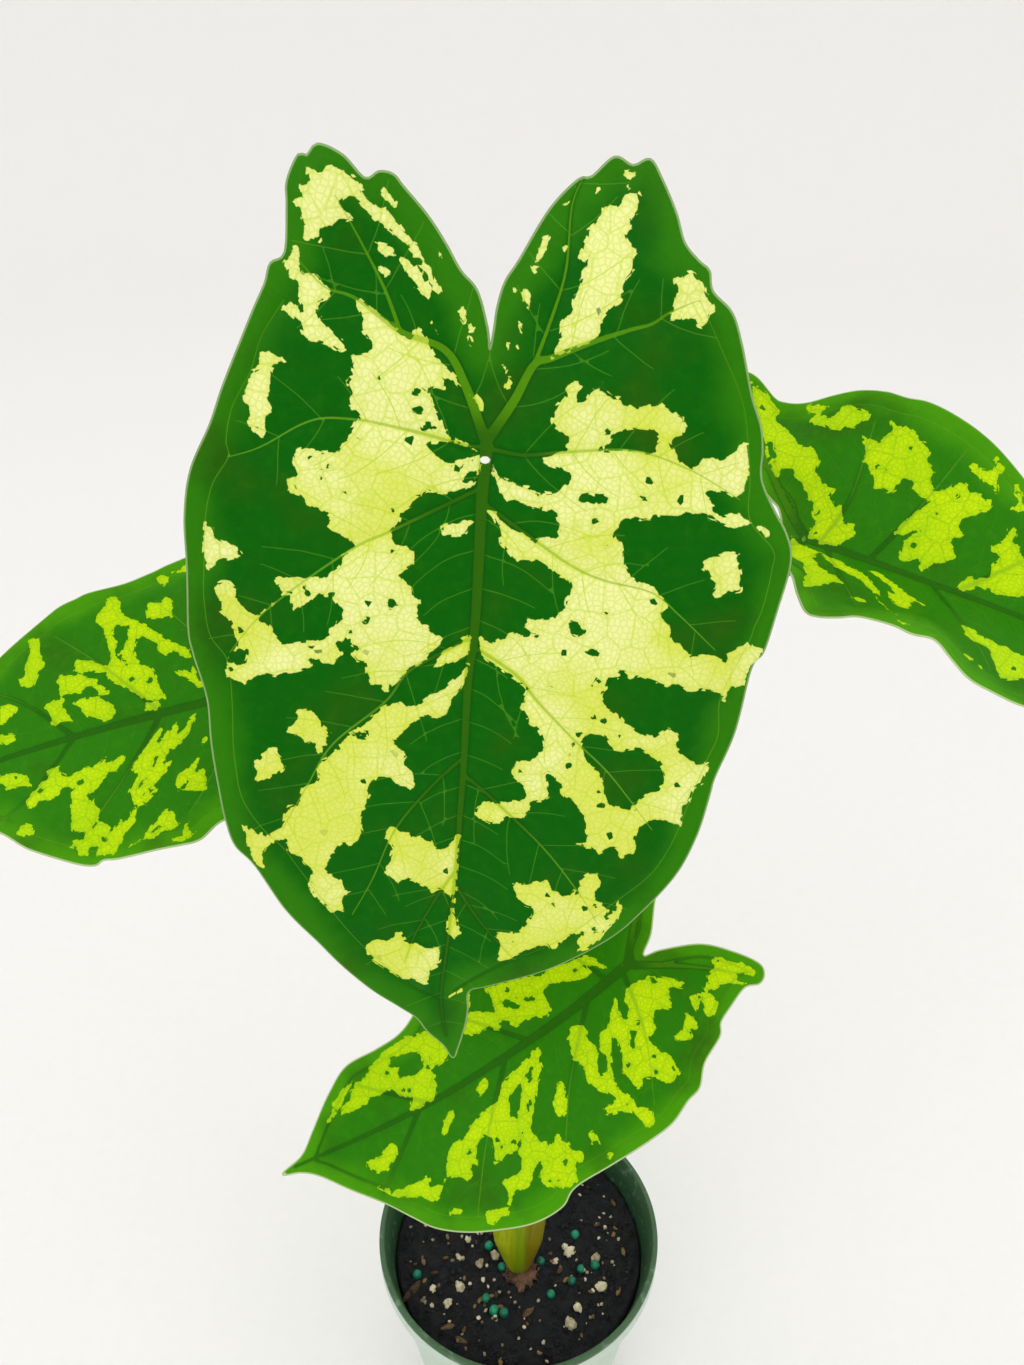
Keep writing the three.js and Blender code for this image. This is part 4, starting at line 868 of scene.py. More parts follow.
def fine_veins(name, lines, random):
    """Thin veins that leave the midrib and the laterals on both sides and bend to the tip."""
    found = []
    for order, line in enumerate(lines):
        length = VEIN_SAMPLE * len(line)
        lean = 78 if order == 0 else 58
        for distance in np.arange(6, length - 4, FINE_VEIN_STEP if order else 7.5):
            for side in (-1, 1):
                place = min(int((distance + 2 * random.random()) / VEIN_SAMPLE), len(line) - 2)
                heading = unit(line[place + 1] - line[place])
                turn = side * math.radians(lean + 12 * (random.random() - 0.5))
                bend = -side * math.radians(lean - 20) / 26
                reach = (11 + 9 * random.random()) * (1 - 0.45 * distance / length)
                at = line[place].copy()
                row = [at.copy()]
                angle = math.atan2(heading[1], heading[0]) + turn
                for _ in range(int(reach / VEIN_SAMPLE)):
                    angle += bend * VEIN_SAMPLE + 0.10 * (random.random() - 0.5)
                    at += VEIN_SAMPLE * np.array([math.cos(angle), math.sin(angle)])
                    row.append(at.copy())
                found.append(np.array(row))
    return found


def hidden_pattern(flat, seed):
    """Camouflage for the parts that the photograph hides: positive in a pale patch."""
    values = [noise.fractal(Vector((x / 17 + seed, y / 11, seed)), 0.7, 2.1, 4) for x, y in flat]
    return 9 * (np.array(values) - 0.12)


def pattern_depth(name, flat):
    """How deep each point of a blade lies in a pale patch, in millimetres; negative in the green."""
    leaf = LEAVES[name]
    pale = np.full(len(flat), -PATTERN_REACH)
    for patch in PALE[name].split("/"):
        pale = np.maximum(pale, loop_depth(flat, leaf.cast(pixels(patch)), PATTERN_REACH))
    for island in ISLANDS[name].split("/"):
        pale = np.minimum(pale, -loop_depth(flat, leaf.cast(pixels(island)), PATTERN_REACH))
    for x, y, width in SPECKS[name]:
        centre = leaf.cast([(x, y), (x + width / 2, y)])
        radius = np.linalg.norm(centre[1] - centre[0])
        pale = np.minimum(pale, np.linalg.norm(flat - centre[0], axis=1) - radius)
    if name == "front":
        return pale
    seen = leaf.seen_at(flat)
    covered = loop_depth(seen, FRONT.seen_at(smooth_curve(FRONT.outline, 3, closed=True)), 30)
    beyond = np.maximum(-seen[:, 0], seen[:, 0] - PHOTO_WIDTH)
    hidden = np.clip(np.maximum(covered, beyond) / 12, 0, 1)
    return pale * (1 - hidden) + hidden_pattern(flat, len(name)) * hidden


def blade_mesh(name, settings):
    """A closed blade: a fine upper face, an under face with raised ribs and a rounded edge."""
    leaf = LEAVES[name]
    random = np.random.default_rng(len(name) + 7)
    step = settings.front_step / MM if name == "front" else settings.small_step / MM
    half = settings.blade_thickness / MM / 2
    loop = smooth_curve(leaf.outline, 0.8, closed=True)
    mains = main_veins(name)
    fines = fine_veins(name, mains, random)
    edges = edge_veins(name)
    widths = [MIDRIB_WIDTH, LOBE_VEIN_WIDTH, LOBE_VEIN_WIDTH] + [LATERAL_WIDTH] * (len(mains) - 3)
    ribs = [tapered(line, width, 0.1) for line, width in zip(mains, widths)]
    ribs += [tapered(line, EDGE_VEIN_WIDTH, EDGE_VEIN_WIDTH) for line in edges]

    upper, upper_faces, upper_rim = triangulate(loop, mains + edges + fines, step)
    under, under_faces, under_rim = triangulate(loop, mains, 1.3 * step)

    flat = np.vstack([upper, loop, under])
    rib = np.min([line_distance(flat, line, 9) for line in ribs], axis=0)
    fine = np.min([line_distance(flat, tapered(line, FINE_VEIN_WIDTH, 0.05), 3) for line in fines], axis=0)
    margin = line_distance(flat, loop, 14, closed=True)

    groove = -0.28 * np.exp(-(np.maximum(rib, 0) / 0.9) ** 2)
    groove -= 0.06 * np.exp(-(np.maximum(fine, 0) / 0.5) ** 2)
    quilt = 0.35 * (1 - np.exp(-(np.maximum(rib, 0) / 5) ** 2)) * np.clip(margin / 6, 0, 1)
    ridge = -np.clip(0.9 - 0.55 * np.maximum(rib + 0.5, 0), 0, 0.9) * np.clip(margin / 4, 0, 1)

    count, rim_count = len(upper), len(loop)
    lift = np.concatenate([
        (half + groove + quilt)[:count],
        quilt[count:count + rim_count],
        (-half + ridge + 0.8 * quilt)[count + rim_count:],
    ])
    places = leaf.place(flat, lift)
    middle = loop.mean(0)
    outward = np.roll(loop, -1, 0) - np.roll(loop, 1, 0)
    outward = np.column_stack([outward[:, 1], -outward[:, 0]])
    outward /= np.linalg.norm(outward, axis=1)[:, None]
    if (outward * (loop - middle)).sum() < 0:
        outward = -outward
    places[count:count + rim_count] += half * (outward[:, :1] * leaf.side + outward[:, 1:] * leaf.ahead)

    faces = [tuple(f) for f in upper_faces]
    faces += [tuple(count + rim_count + i for i in reversed(f)) for f in under_faces]
    ring = count + np.arange(rim_count)
    for i in range(rim_count):
        j = (i + 1) % rim_count
        a, b = upper_rim[i], upper_rim[j]
        c, d = count + rim_count + under_rim[i], count + rim_count + under_rim[j]
        faces += [(a, ring[i], ring[j], b), (ring[i], c, d, ring[j])]
    made = make_object("leaf_" + name, places, faces)
    fix_facing(made)
    add_values(made, "patch", pattern_depth(name, flat))
    add_values(made, "margin", margin)
    add_values(made, "rib", rib)
    add_values(made, "fine", fine)
    side = np.concatenate([np.zeros(count), np.full(rim_count, 0.5), np.ones(len(under))])
    add_values(made, "under", side)
    # The pale spot painted over the end of the front leaf's stalk.
    white_spot = FRONT.cast([FRONT_WHITE_SPOT_SEEN])[0] if name == "front" else (0, 0)
    add_values(made, "white_spot", np.hypot(*((flat - white_spot) * (0.8, 1.15)).T))
    add_vectors(made, "leaf_place", np.column_stack([flat, np.zeros(len(flat))]))
    return made


def fix_facing(made):
    """Turns all faces outward."""
    work = bmesh.new()
    work.from_mesh(made.data)
    bmesh.ops.recalc_face_normals(work, faces=work.faces)
    work.to_mesh(made.data)
    work.free()


def stalk_end(name):
    """Where a stalk reaches its blade, and the way it points there."""
    leaf = LEAVES[name]
    under = leaf.place([(0, 0)], -0.4)[0]
    heading = unit(under - np.array(STALKS[name][-1][:3]))
    return under, unit(heading + 0.9 * leaf.normal)


def centripetal(knots, pieces):
    """An even curve through knots of (x, y, z, radius)."""
    knots = np.asarray(knots, float)
    ends = np.vstack([2 * knots[0] - knots[1], knots, 2 * knots[-1] - knots[-2]])
    rows = []
    for i in range(len(knots) - 1):
        p = ends[i:i + 4]
        gaps = np.sqrt(np.linalg.norm(np.diff(p[:, :3], axis=0), axis=1))
        t0, t1, t2, t3 = 0, gaps[0], gaps[0] + gaps[1], gaps.sum()
        for t in t1 + (t2 - t1) * np.arange(pieces) / pieces:
            a1 = (t1 - t) / (t1 - t0) * p[0] + (t - t0) / (t1 - t0) * p[1]
            a2 = (t2 - t) / (t2 - t1) * p[1] + (t - t1) / (t2 - t1) * p[2]
            a3 = (t3 - t) / (t3 - t2) * p[2] + (t - t2) / (t3 - t2) * p[3]
            b1 = (t2 - t) / (t2 - t0) * a1 + (t - t0) / (t2 - t0) * a2
            b2 = (t3 - t) / (t3 - t1) * a2 + (t - t1) / (t3 - t1) * a3
            row = (t2 - t) / (t2 - t1) * b1 + (t - t1) / (t2 - t1) * b2
            share = (t - t1) / (t2 - t1)
            row[3] = p[1, 3] + (p[2, 3] - p[1, 3]) * share
            rows.append(row)
    rows.append(knots[-1])
    return np.array(rows)


def tube(middles, radii, sides):
    """Points and faces of a closed tube; radii has one row for each middle, one column a side."""
    heading = np.gradient(middles, axis=0)
    heading /= np.linalg.norm(heading, axis=1)[:, None]
    reference = np.array([0.31, 0.87, 0.38])
    points = []
    for centre, ahead, row in zip(middles, heading, radii):
        reference = unit(reference - (reference @ ahead) * ahead)
        other = np.cross(ahead, reference)
        angles = 2 * math.pi * np.arange(sides) / sides
        points.append(centre + row[:, None] * (np.cos(angles)[:, None] * reference
                                               + np.sin(angles)[:, None] * other))
    points = np.vstack(points + [middles[:1], middles[-1:]])
    faces = []
    count = len(middles)
    for k in range(sides):
        after = (k + 1) % sides
        for i in range(count - 1):
            faces.append((i * sides + k, i * sides + after, (i + 1) * sides + after, (i + 1) * sides + k))
        faces.append((count * sides, after, k))
        faces.append((count * sides + 1, (count - 1) * sides + k, (count - 1) * sides + after))
    return points, faces


def stalk_mesh(name):
    """A stalk from the corm to its blade, with shallow ribs. One of them also wraps the rest at its foot."""
    under, heading = stalk_end(name)
    knots = STALKS[name] + [tuple(under - reach * heading) + (STALK_TOP_RADIUS,) for reach in (9.85, 3.85)]
    knots.append(tuple(under + 0.25 * heading) + (STALK_TOP_RADIUS * 0.8,))
    rows = centripetal(knots, 16)
    angles = 2 * math.pi * np.arange(STALK_SIDES) / STALK_SIDES
    height = rows[:, 2]
    low = np.clip((170 - height) / 60, 0, 1)[:, None]
    ribbed = 1 + 0.012 * np.cos(7 * angles)[None, :]
    lip = 0.16 * np.exp(-((angles - 2.2) / 0.22) ** 2)[None, :] * low
    radii = rows[:, 3:] * (ribbed + lip)
    points, faces = tube(rows[:, :3], radii, STALK_SIDES)
    if name == SHEATHING_STALK:
        wrap, wrap_faces = sheath_mesh()
        faces += [tuple(len(points) + i for i in face) for face in wrap_faces]
        points = np.vstack([points, wrap])
    made = make_object("petiole_" + name, points, faces)
    fix_facing(made)
    return made


def sheath_mesh():
    """The outermost stalk's foot, which wraps the other three and ends in a slanting lip."""
    sides = SHEATH_SIDES
    angles = 2 * math.pi * np.arange(sides) / sides
    rows = smooth_curve(SHEATH, 1.0, closed=False)
    rings = []
    for x, y, z, wide, deep in rows:
        seam = 1 + 0.05 * np.exp(-((angles - SHEATH_SEAM) / 0.12) ** 2) + 0.012 * np.cos(9 * angles)
        slant = SHEATH_SLANT * np.cos(angles - SHEATH_CREST) * np.clip((z - 100) / 18, 0, 1)
        rings.append(np.column_stack([x + wide * seam * np.cos(angles), y + deep * seam * np.sin(angles),
                                      z + slant]))
    top = rings[-1]
    centre = top.mean(0)
    rings.append(centre + (top - centre) * (0.93, 0.93, 1) + (0, 0, 0.2))
    rings.append(centre + (top - centre) * (0.9, 0.9, 1) - (0, 0, 4))
    points = np.vstack(rings + [rows[:1, :3], centre[None, :] - (0, 0, 4)])
    faces = []
    last = len(rings) - 1
    for k in range(sides):
        after = (k + 1) % sides
        faces += [(i * sides + k, i * sides + after, (i + 1) * sides + after, (i + 1) * sides + k)
                  for i in range(last)]
        faces.append((len(points) - 2, after, k))
        faces.append((len(points) - 1, last * sides + k, last * sides + after))
    return points, faces


def soil_height(x, y):
    """Height of the soil's top, with the same gentle lumps as its solid."""
    lumps = (0.5 * np.sin(0.31 * x + 1.3) * np.cos(0.27 * y - 0.4) + 0.35 * np.sin(0.83 * x - 0.5 * y)
             + 0.3 * np.cos(0.71 * y + 0.62 * x + 2))
    away = np.hypot(x, y + 8)
    return SOIL_TOP + SOIL_ROUGHNESS * lumps + 1.2 * np.exp(-(away / 16) ** 2)


def rough_ball(radius, detail, stretch, roughness, random):
    """Points and faces of a rough lump about the origin."""
    work = bmesh.new()
    bmesh.ops.create_icosphere(work, subdivisions=detail, radius=1)
    shift = Vector(random.uniform(-50, 50, 3))
    points = []
    for vertex in work.verts:
        swell = 1 + roughness * noise.noise(1.3 * vertex.co + shift)
        swell += 0.4 * roughness * noise.noise(3.7 * vertex.co + shift)
        points.append(np.array(vertex.co) * swell * radius * np.array(stretch))
    faces = [tuple(v.index for v in face.verts) for face in work.faces]
    work.free()
    turn = Matrix.Rotation(random.uniform(0, 6.3), 3, "Z") @ Matrix.Rotation(random.uniform(0, 3.1), 3, "X")
    return np.array(points) @ np.array(turn).T, faces


def gather(name, lumps, smooth=True):
    """One object from many (points, faces, tone) lumps; the tone goes to the material."""
    points, faces, tones, first = [], [], [], 0
    for lump_points, lump_faces, tone in lumps:
        points.append(lump_points)
        faces += [tuple(first + i for i in face) for face in lump_faces]
        tones += [tone] * len(lump_points)
        first += len(lump_points)
    made = make_object(name, np.vstack(points), faces, smooth)
    add_values(made, "tone", tones)
    return made


def spin(profile, sides):
    """Points and faces of a closed ring profile of (radius, height) turned about the axis."""
    points, faces = [], []
    ring = len(profile)
    for k in range(sides):
        angle = 2 * math.pi * k / sides
        points += [(r * math.cos(angle), r * math.sin(angle), z) for r, z in profile]
        after = ((k + 1) % sides) * ring
        faces += [(k * ring + i, after + i, after + (i + 1) % ring, k * ring + (i + 1) % ring)
                  for i in range(ring)]
    return np.array(points), faces


def rounded(corners, steps):
    """A profile whose corners of (radius, height, rounding) are turned into short arcs."""
    rows = []
    for i, (x, y, rounding) in enumerate(corners):
        here = np.array([x, y])
        before = np.array(corners[i - 1][:2])
        after = np.array(corners[(i + 1) % len(corners)][:2])
        if not rounding:
            rows.append(here)
            continue
        into = here + unit(before - here) * rounding
        out = here + unit(after - here) * rounding
        for t in np.linspace(0, 1, steps):
            rows.append((1 - t) ** 2 * into + 2 * t * (1 - t) * here + t ** 2 * out)
    return rows


def pot_mesh():
    """The pot as one thin turned wall with a rolled rim and round drain holes."""
    rim_foot = POT_HEIGHT - RIM_HEIGHT
    corners = [
        (0.4, 0, 0), (DRAIN_CIRCLE, 0, 0), (BASE_RADIUS, 0, 1.2), (NECK_RADIUS, rim_foot - 0.5, 0.7),
        (RIM_RADIUS, rim_foot, 1.1), (RIM_RADIUS, POT_HEIGHT - 2.2, 0), (RIM_RADIUS, POT_HEIGHT - 1.3, 0),
        (RIM_RADIUS, POT_HEIGHT, 0.9),
        (RIM_RADIUS - LIP_WIDTH, POT_HEIGHT, 0.8), (NECK_RADIUS - WALL, rim_foot - 4, 1.5),
        (BASE_RADIUS - WALL + 0.2, FLOOR, 1.0), (DRAIN_CIRCLE, FLOOR, 0), (0.4, FLOOR, 0),
    ]
    points, faces = spin(rounded(corners, 5), POT_SIDES)
    made = make_object("pot_shell", points, faces)
    fix_facing(made)
    cut_drains(made)
    mark_wall(made, rim_foot)
    return made


def cut_drains(made):
    """Cuts a ring of round drain holes through the pot's floor."""
    drills = bmesh.new()
    for i in range(DRAIN_COUNT):
        angle = 2 * math.pi * (i + 0.5) / DRAIN_COUNT
        place = Vector((math.cos(angle), math.sin(angle), 0)) * DRAIN_CIRCLE * MM
        bmesh.ops.create_cone(drills, cap_ends=True, segments=40, radius1=DRAIN_RADIUS * MM,
                              radius2=DRAIN_RADIUS * MM, depth=12 * MM, matrix=Matrix.Translation(place))
    mesh = bpy.data.meshes.new("pot_drills")
    drills.to_mesh(mesh)
    drills.free()
    cutter = bpy.data.objects.new("pot_drills", mesh)
    bpy.context.collection.objects.link(cutter)
    cut = made.modifiers.new("drain_holes", "BOOLEAN")
    cut.operation = "DIFFERENCE"
    cut.solver = "EXACT"
    cut.object = cutter
    ready = bpy.data.meshes.new_from_object(made.evaluated_get(bpy.context.evaluated_depsgraph_get()))
    made.modifiers.clear()
    made.data = ready
    bpy.data.objects.remove(cutter)


def mark_wall(made, rim_foot):
    """Marks the pot for its material: 1 on the wall outside, -1 on the inside, 0 on the lip."""
    places = np.array([vertex.co for vertex in made.data.vertices]) / MM
    away = np.hypot(places[:, 0], places[:, 1])
    cone = BASE_RADIUS + (NECK_RADIUS - BASE_RADIUS) * places[:, 2] / (rim_foot - 0.5)
    outside = away > np.where(places[:, 2] < rim_foot, cone - 0.6, RIM_RADIUS - 0.4)
    wall = np.where(outside & (places[:, 2] < POT_HEIGHT - LIP_DEPTH), 1.0, 0.0)
    wall = np.where((places[:, 2] > 1) & (away < np.minimum(cone - 0.6, RIM_RADIUS - 2.4)), -1.0, wall)
    add_values(made, "wall", wall)


def soil_mesh():
    """The soil's body: a finely broken top and a plain tapered side inside the pot."""
    slope = (NECK_RADIUS - BASE_RADIUS) / (POT_HEIGHT - RIM_HEIGHT - 4)
    foot = FLOOR + SOIL_CLEARANCE

    def radius_at(height):
        return BASE_RADIUS - WALL - 2 * SOIL_CLEARANCE + slope * height

    angles = np.linspace(0, 2 * math.pi, SOIL_SIDES, endpoint=False)
    circle = np.column_stack([np.cos(angles), np.sin(angles)])
    top, faces, rim = triangulate(circle * radius_at(SOIL_TOP), [], 0.75)
    rough = [noise.fractal(Vector((x / 3.1, y / 3.1, 5)), 0.8, 2.3, 4) for x, y in top]
    height = soil_height(top[:, 0], top[:, 1]) + 0.75 * np.array(rough)
    height = np.where(np.hypot(*top.T) > radius_at(SOIL_TOP) - 0.1, SOIL_TOP - 1.2, height)
    points = [np.column_stack([top, height])]
    faces = [tuple(f) for f in faces]
    first = len(top)
    for level in np.linspace(SOIL_TOP - 3, foot, SOIL_RINGS):
        points.append(np.column_stack([circle * radius_at(level), np.full(len(circle), level)]))
    points.append(np.array([[0, 0, foot]]))
    rings = [list(rim)]
    for k in range(SOIL_RINGS):
        rings.append([first + k * SOIL_SIDES + i for i in range(SOIL_SIDES)])
    for above, below in zip(rings, rings[1:]):
        faces += [(above[i - 1], above[i], below[i], below[i - 1]) for i in range(SOIL_SIDES)]
    middle = first + SOIL_RINGS * SOIL_SIDES
    faces += [(rings[-1][i - 1], rings[-1][i], middle) for i in range(SOIL_SIDES)]
    made = make_object("soil_bed", np.vstack(points), faces)
    fix_facing(made)
    return made


def scattered(count, inner, outer, random):
    """Seeded places on the soil between two radii."""
    away = np.sqrt(random.uniform(inner ** 2, outer ** 2, count))
    angle = random.uniform(0, 2 * math.pi, count)
    return np.column_stack([away * np.cos(angle), away * np.sin(angle)])


class Value:
    """A shader value. Arithmetic on it adds Math nodes."""

    def __init__(self, shader, socket):
        self.shader = shader
        self.socket = socket

    def __add__(self, other):
        return self.shader.math("ADD", self, other)

    def __sub__(self, other):
        return self.shader.math("SUBTRACT", self, other)

    def __rsub__(self, other):
        return self.shader.math("SUBTRACT", other, self)

    def __mul__(self, other):
        return self.shader.math("MULTIPLY", self, other)

    __radd__ = __add__
    __rmul__ = __mul__

    def step(self, low, high):
        """0 below low and 1 above high, with a soft change between them."""
        node = self.shader.node("ShaderNodeMapRange", {"interpolation_type": "SMOOTHSTEP"},
                                {0: self, 1: low, 2: high, 3: 0.0, 4: 1.0})
        return Value(self.shader, node.outputs[0])


class Shader:
    """A material round one Principled shader."""

    def __init__(self, name):
        self.material = bpy.data.materials.new(name)
        self.material.use_nodes = True
        self.tree = self.material.node_tree
        self.tree.nodes.clear()
        self.surface = self.node("ShaderNodeBsdfPrincipled")
        self.node("ShaderNodeOutputMaterial", sockets={"Surface": self.surface.outputs[0]})

    def node(self, kind, settings=None, sockets=None):
        """Adds a node: its settings first, then the values or links of its sockets."""
        made = self.tree.nodes.new(kind)
        for key, value in (settings or {}).items():
            setattr(made, key, value)
        for key, value in (sockets or {}).items():
            self.feed(made.inputs[key], value)
        return made

    def feed(self, socket, value):
        """Links or sets one socket."""
        if isinstance(value, Value):
            value = value.socket
        if isinstance(value, bpy.types.NodeSocket):
            self.tree.links.new(value, socket)
        else:
            socket.default_value = value

    def math(self, operation, *terms):
        """One Math node on values or numbers."""
        node = self.node("ShaderNodeMath", {"operation": operation}, dict(enumerate(terms)))
        return Value(self, node.outputs[0])

    def attribute(self, name):
        """A number stored on the mesh."""
        node = self.node("ShaderNodeAttribute", {"attribute_name": name})
        return Value(self, node.outputs["Fac"])

    def vector(self, name):
        """A vector stored on the mesh."""
        return self.node("ShaderNodeAttribute", {"attribute_name": name}).outputs["Vector"]

    def place(self):
        """The place on the object in its own coordinates, in metres."""
        return self.node("ShaderNodeTexCoord").outputs["Object"]

    def noise(self, vector, scale, detail=3.0):
        """Soft noise from 0 to 1."""
        node = self.node("ShaderNodeTexNoise", sockets={"Vector": vector, "Scale": scale, "Detail": detail})
        return Value(self, node.outputs["Fac"])

    def cells(self, vector, scale, feature="F1"):
        """A network of cells: a random number for each, or the distance to its edge."""
        node = self.node("ShaderNodeTexVoronoi", {"voronoi_dimensions": "2D", "feature": feature},
                         {"Vector": vector, "Scale": scale})
        if feature == "DISTANCE_TO_EDGE":
            return Value(self, node.outputs["Distance"])
        parts = self.node("ShaderNodeSeparateColor", sockets={"Color": node.outputs["Color"]})
        return Value(self, parts.outputs[0])

    def mix(self, factor, first, second):
        """A colour between two colours."""
        node = self.node("ShaderNodeMix", {"data_type": "RGBA"}, {0: factor, 6: first, 7: second})
        return node.outputs[2]

    def bump(self, height, strength, distance):
        """A normal from a height in metres times distance."""
        node = self.node("ShaderNodeBump", sockets={"Height": height, "Strength": strength,
                                                    "Distance": distance})
        return node.outputs[0]

    def finish(self, **sockets):
        """Feeds the Principled shader; words in a socket's name are joined by underscores."""
        for key, value in sockets.items():
            self.feed(self.surface.inputs[key.replace("_", " ")], value)
        return self.material


def tint(red, green, blue):
    """A screen colour of 0 to 255 as the linear colour that a shader takes."""
    parts = [part / 255 for part in (red, green, blue)]
    return [part / 12.92 if part < 0.04045 else ((part + 0.055) / 1.055) ** 2.4 for part in parts] + [1.0]


def leaf_finish(name, pale, rich, net, green, shade, veining, spotted):
    """A blade's skin: pale cell-edged patches on green, with veins, a network and a light underside."""
    shader = Shader(name)
    at = shader.vector("leaf_place")
    patch = shader.attribute("patch")
    rib = shader.attribute("rib")
    fine = shader.attribute("fine")
    under = shader.attribute("under").step(0.55, 0.8)
    margin = shader.attribute("margin")
    edge = shader.math("MAXIMUM", shader.attribute("under").step(0.05, 0.45), 1 - margin.step(0.06, 0.3))
    edge = edge * (1 - under) * (0.5 if spotted else 0.9)
    axes = shader.node("ShaderNodeSeparateXYZ", sockets={0: at}).outputs
    outer = shader.math("ABSOLUTE", Value(shader, axes[0])).step(7.0, 30.0)
    toward_tip = Value(shader, axes[1]) * 0.0016

    cell = shader.cells(at, 0.8)
    net_edge = shader.cells(at, 0.8, "DISTANCE_TO_EDGE")
    ragged = shader.noise(at, 1.1, 3.0)
    depth = patch + (cell - 0.5) * 0.75 + (ragged - 0.5) * 0.6
    speck = cell.step(0.9955, 0.997) * patch.step(0.8, 1.2)
    in_patch = depth.step(-0.07, 0.07) * (1 - speck)

    cloud = shader.noise(at, 0.045, 3.0)
    mottle = shader.noise(at, 0.35, 4.0)
    inner = (margin + (cloud - 0.5) * 16).step(0.5, 9.0)
    body = shader.mix(inner, green, shade)
    body = shader.mix(cloud.step(0.48, 0.78) * 0.6, body, tint(50, 86, 4))
    body = shader.mix(mottle.step(0.45, 0.8) * 0.22, body, green)

    network = 1 - net_edge.step(0.0, 0.24)
    coarse = 1 - shader.cells(at, 0.19, "DISTANCE_TO_EDGE").step(0.0, 0.07)
    light = shader.mix((cloud + toward_tip).step(0.44, 0.7) * 0.85, pale, rich)
    light = shader.mix(network * 0.36, light, net)
    light = shader.mix(coarse * 0.45, light, net)
    light = shader.mix((1 - depth.step(0.0, 1.6)) * 0.3, light, net)

    thin = 1 - fine.step(-0.02, 0.1)
    line = 1 - rib.step(-0.12, 0.08)
    # Painted shade: a dark band along both sides of the sunken midrib and the main veins near it.
    rim = (1 - rib.step(0.0, 0.75)) * (1 - outer)
    core = shader.mix(outer, tint(46, 102, 3), tint(108, 168, 36))
    core = shader.mix((0 - Value(shader, axes[1])).step(2.0, 9.0) * 0.8, core, tint(88, 150, 6))
    body = shader.mix(thin * 0.4 * veining, body, tint(92, 156, 36))
    # Painted shade beside the midrib on the green.
    body = shader.mix(rim * 0.6, body, tint(8, 72, 2))
    body = shader.mix(line * (0.9 - 0.25 * outer) * (0.4 + 0.6 * veining), body, core)
    light = shader.mix(thin * 0.7 * veining, light, net)
    # Painted shade beside the midrib in the pale patches.
    light = shader.mix(rim * 0.5, light, net)
    light = shader.mix(line * 0.7, light, tint(150, 184, 28))
    skin = shader.mix(in_patch, body, light)
    skin = shader.mix(edge, skin, tint(186, 206, 148))
    # A pale spot painted over the end of the stalk.
    if spotted:
        white_spot = 1 - shader.attribute("white_spot").step(WHITE_SPOT_RADIUS - 0.12, WHITE_SPOT_RADIUS + 0.12)
        skin = shader.mix(white_spot, skin, tint(236, 238, 226))

    below = shader.mix(in_patch, tint(84, 146, 52), tint(206, 222, 130))
    below = shader.mix(thin * 0.4, below, tint(128, 178, 84))
    below = shader.mix(line, below, tint(150, 192, 92))
    skin = shader.mix(under, skin, below)

    height = network * -0.5 + thin * -1.0 + mottle * 0.6
    return shader.finish(
        Base_Color=skin,
        Roughness=0.4 + 0.14 * mottle + 0.2 * under,
        Normal=shader.bump(height, 0.35, 0.00012),
        Specular_IOR_Level=0.06,
    )


def stalk_finish():
    """Petiole skin: yellow green at the foot, fresh green above, with fine lengthwise streaks."""
    shader = Shader("petiole_skin")
    at = shader.place()
    parts = shader.node("ShaderNodeSeparateXYZ", sockets={0: at})
    height = Value(shader, parts.outputs[2])
    across = Value(shader, parts.outputs[0])
    stretched = shader.node("ShaderNodeMapping", {"vector_type": "POINT"},
                            {"Vector": at, "Scale": (900.0, 900.0, 30.0)}).outputs[0]
    streak = shader.noise(stretched, 1.0, 3.0)
    blotch = shader.noise(at, 90.0, 3.0)
    foot = 1 - height.step(0.09, 0.2)
    body = shader.mix(foot, tint(84, 148, 14), tint(158, 170, 2))
    body = shader.mix(across.step(-0.004, 0.0) * foot * 0.8, body, tint(112, 146, 2))
    body = shader.mix(across.step(0.0008, 0.004) * foot * 0.9, body, tint(128, 104, 2))
    body = shader.mix(streak.step(0.4, 0.7) * 0.35, body, tint(72, 116, 4))
    body = shader.mix(blotch.step(0.55, 0.75) * 0.3, body, tint(170, 176, 24))
    return shader.finish(
        Base_Color=body,
        Roughness=0.34 + 0.2 * streak,
        Normal=shader.bump(streak, 0.3, 0.0003),
        Specular_IOR_Level=0.45,
    )


def pot_finish():
    """Green nursery plastic: a dark inside, a green lip and a pale wall outside, with scuffs."""
    shader = Shader("pot_plastic")
    at = shader.place()
    parts = shader.node("ShaderNodeSeparateXYZ", sockets={0: at})
    height = Value(shader, parts.outputs[2])
    scuff = shader.noise(at, 260.0, 5.0)
    cloud = shader.noise(at, 35.0, 3.0)
    grain = shader.noise(at, 2600.0, 2.0)
    wall = shader.attribute("wall")
    body = shader.mix(cloud * 0.5, tint(54, 88, 54), tint(70, 108, 70))
    body = shader.mix((0 - wall).step(0.2, 0.8), body, tint(38, 74, 46))
    body = shader.mix(wall.step(0.2, 0.8), body, tint(190, 208, 192))
    body = shader.mix(scuff.step(0.56, 0.72) * 0.3, body, tint(150, 184, 160))
    body = shader.mix((1 - height.step(0.002, 0.03)) * 0.2, body, tint(90, 124, 98))
    return shader.finish(
        Base_Color=body,
        Roughness=0.38 + 0.22 * scuff,
        Normal=shader.bump(grain + scuff, 0.25, 0.0002),
    )


def speckled_finish(name, dark, light, roughness, scale, bump_depth):
    """A rough natural finish between two colours, shifted by each lump's own tone."""
    shader = Shader(name)
    at = shader.place()
    tone = shader.attribute("tone")
    rough = shader.noise(at, scale, 5.0)
    blend = (tone * 0.6 + rough * 0.7).step(0.25, 0.95)
    return shader.finish(
        Base_Color=shader.mix(blend, dark, light),
        Roughness=roughness + 0.1 * rough,
        Normal=shader.bump(rough, 0.6, bump_depth),
    )


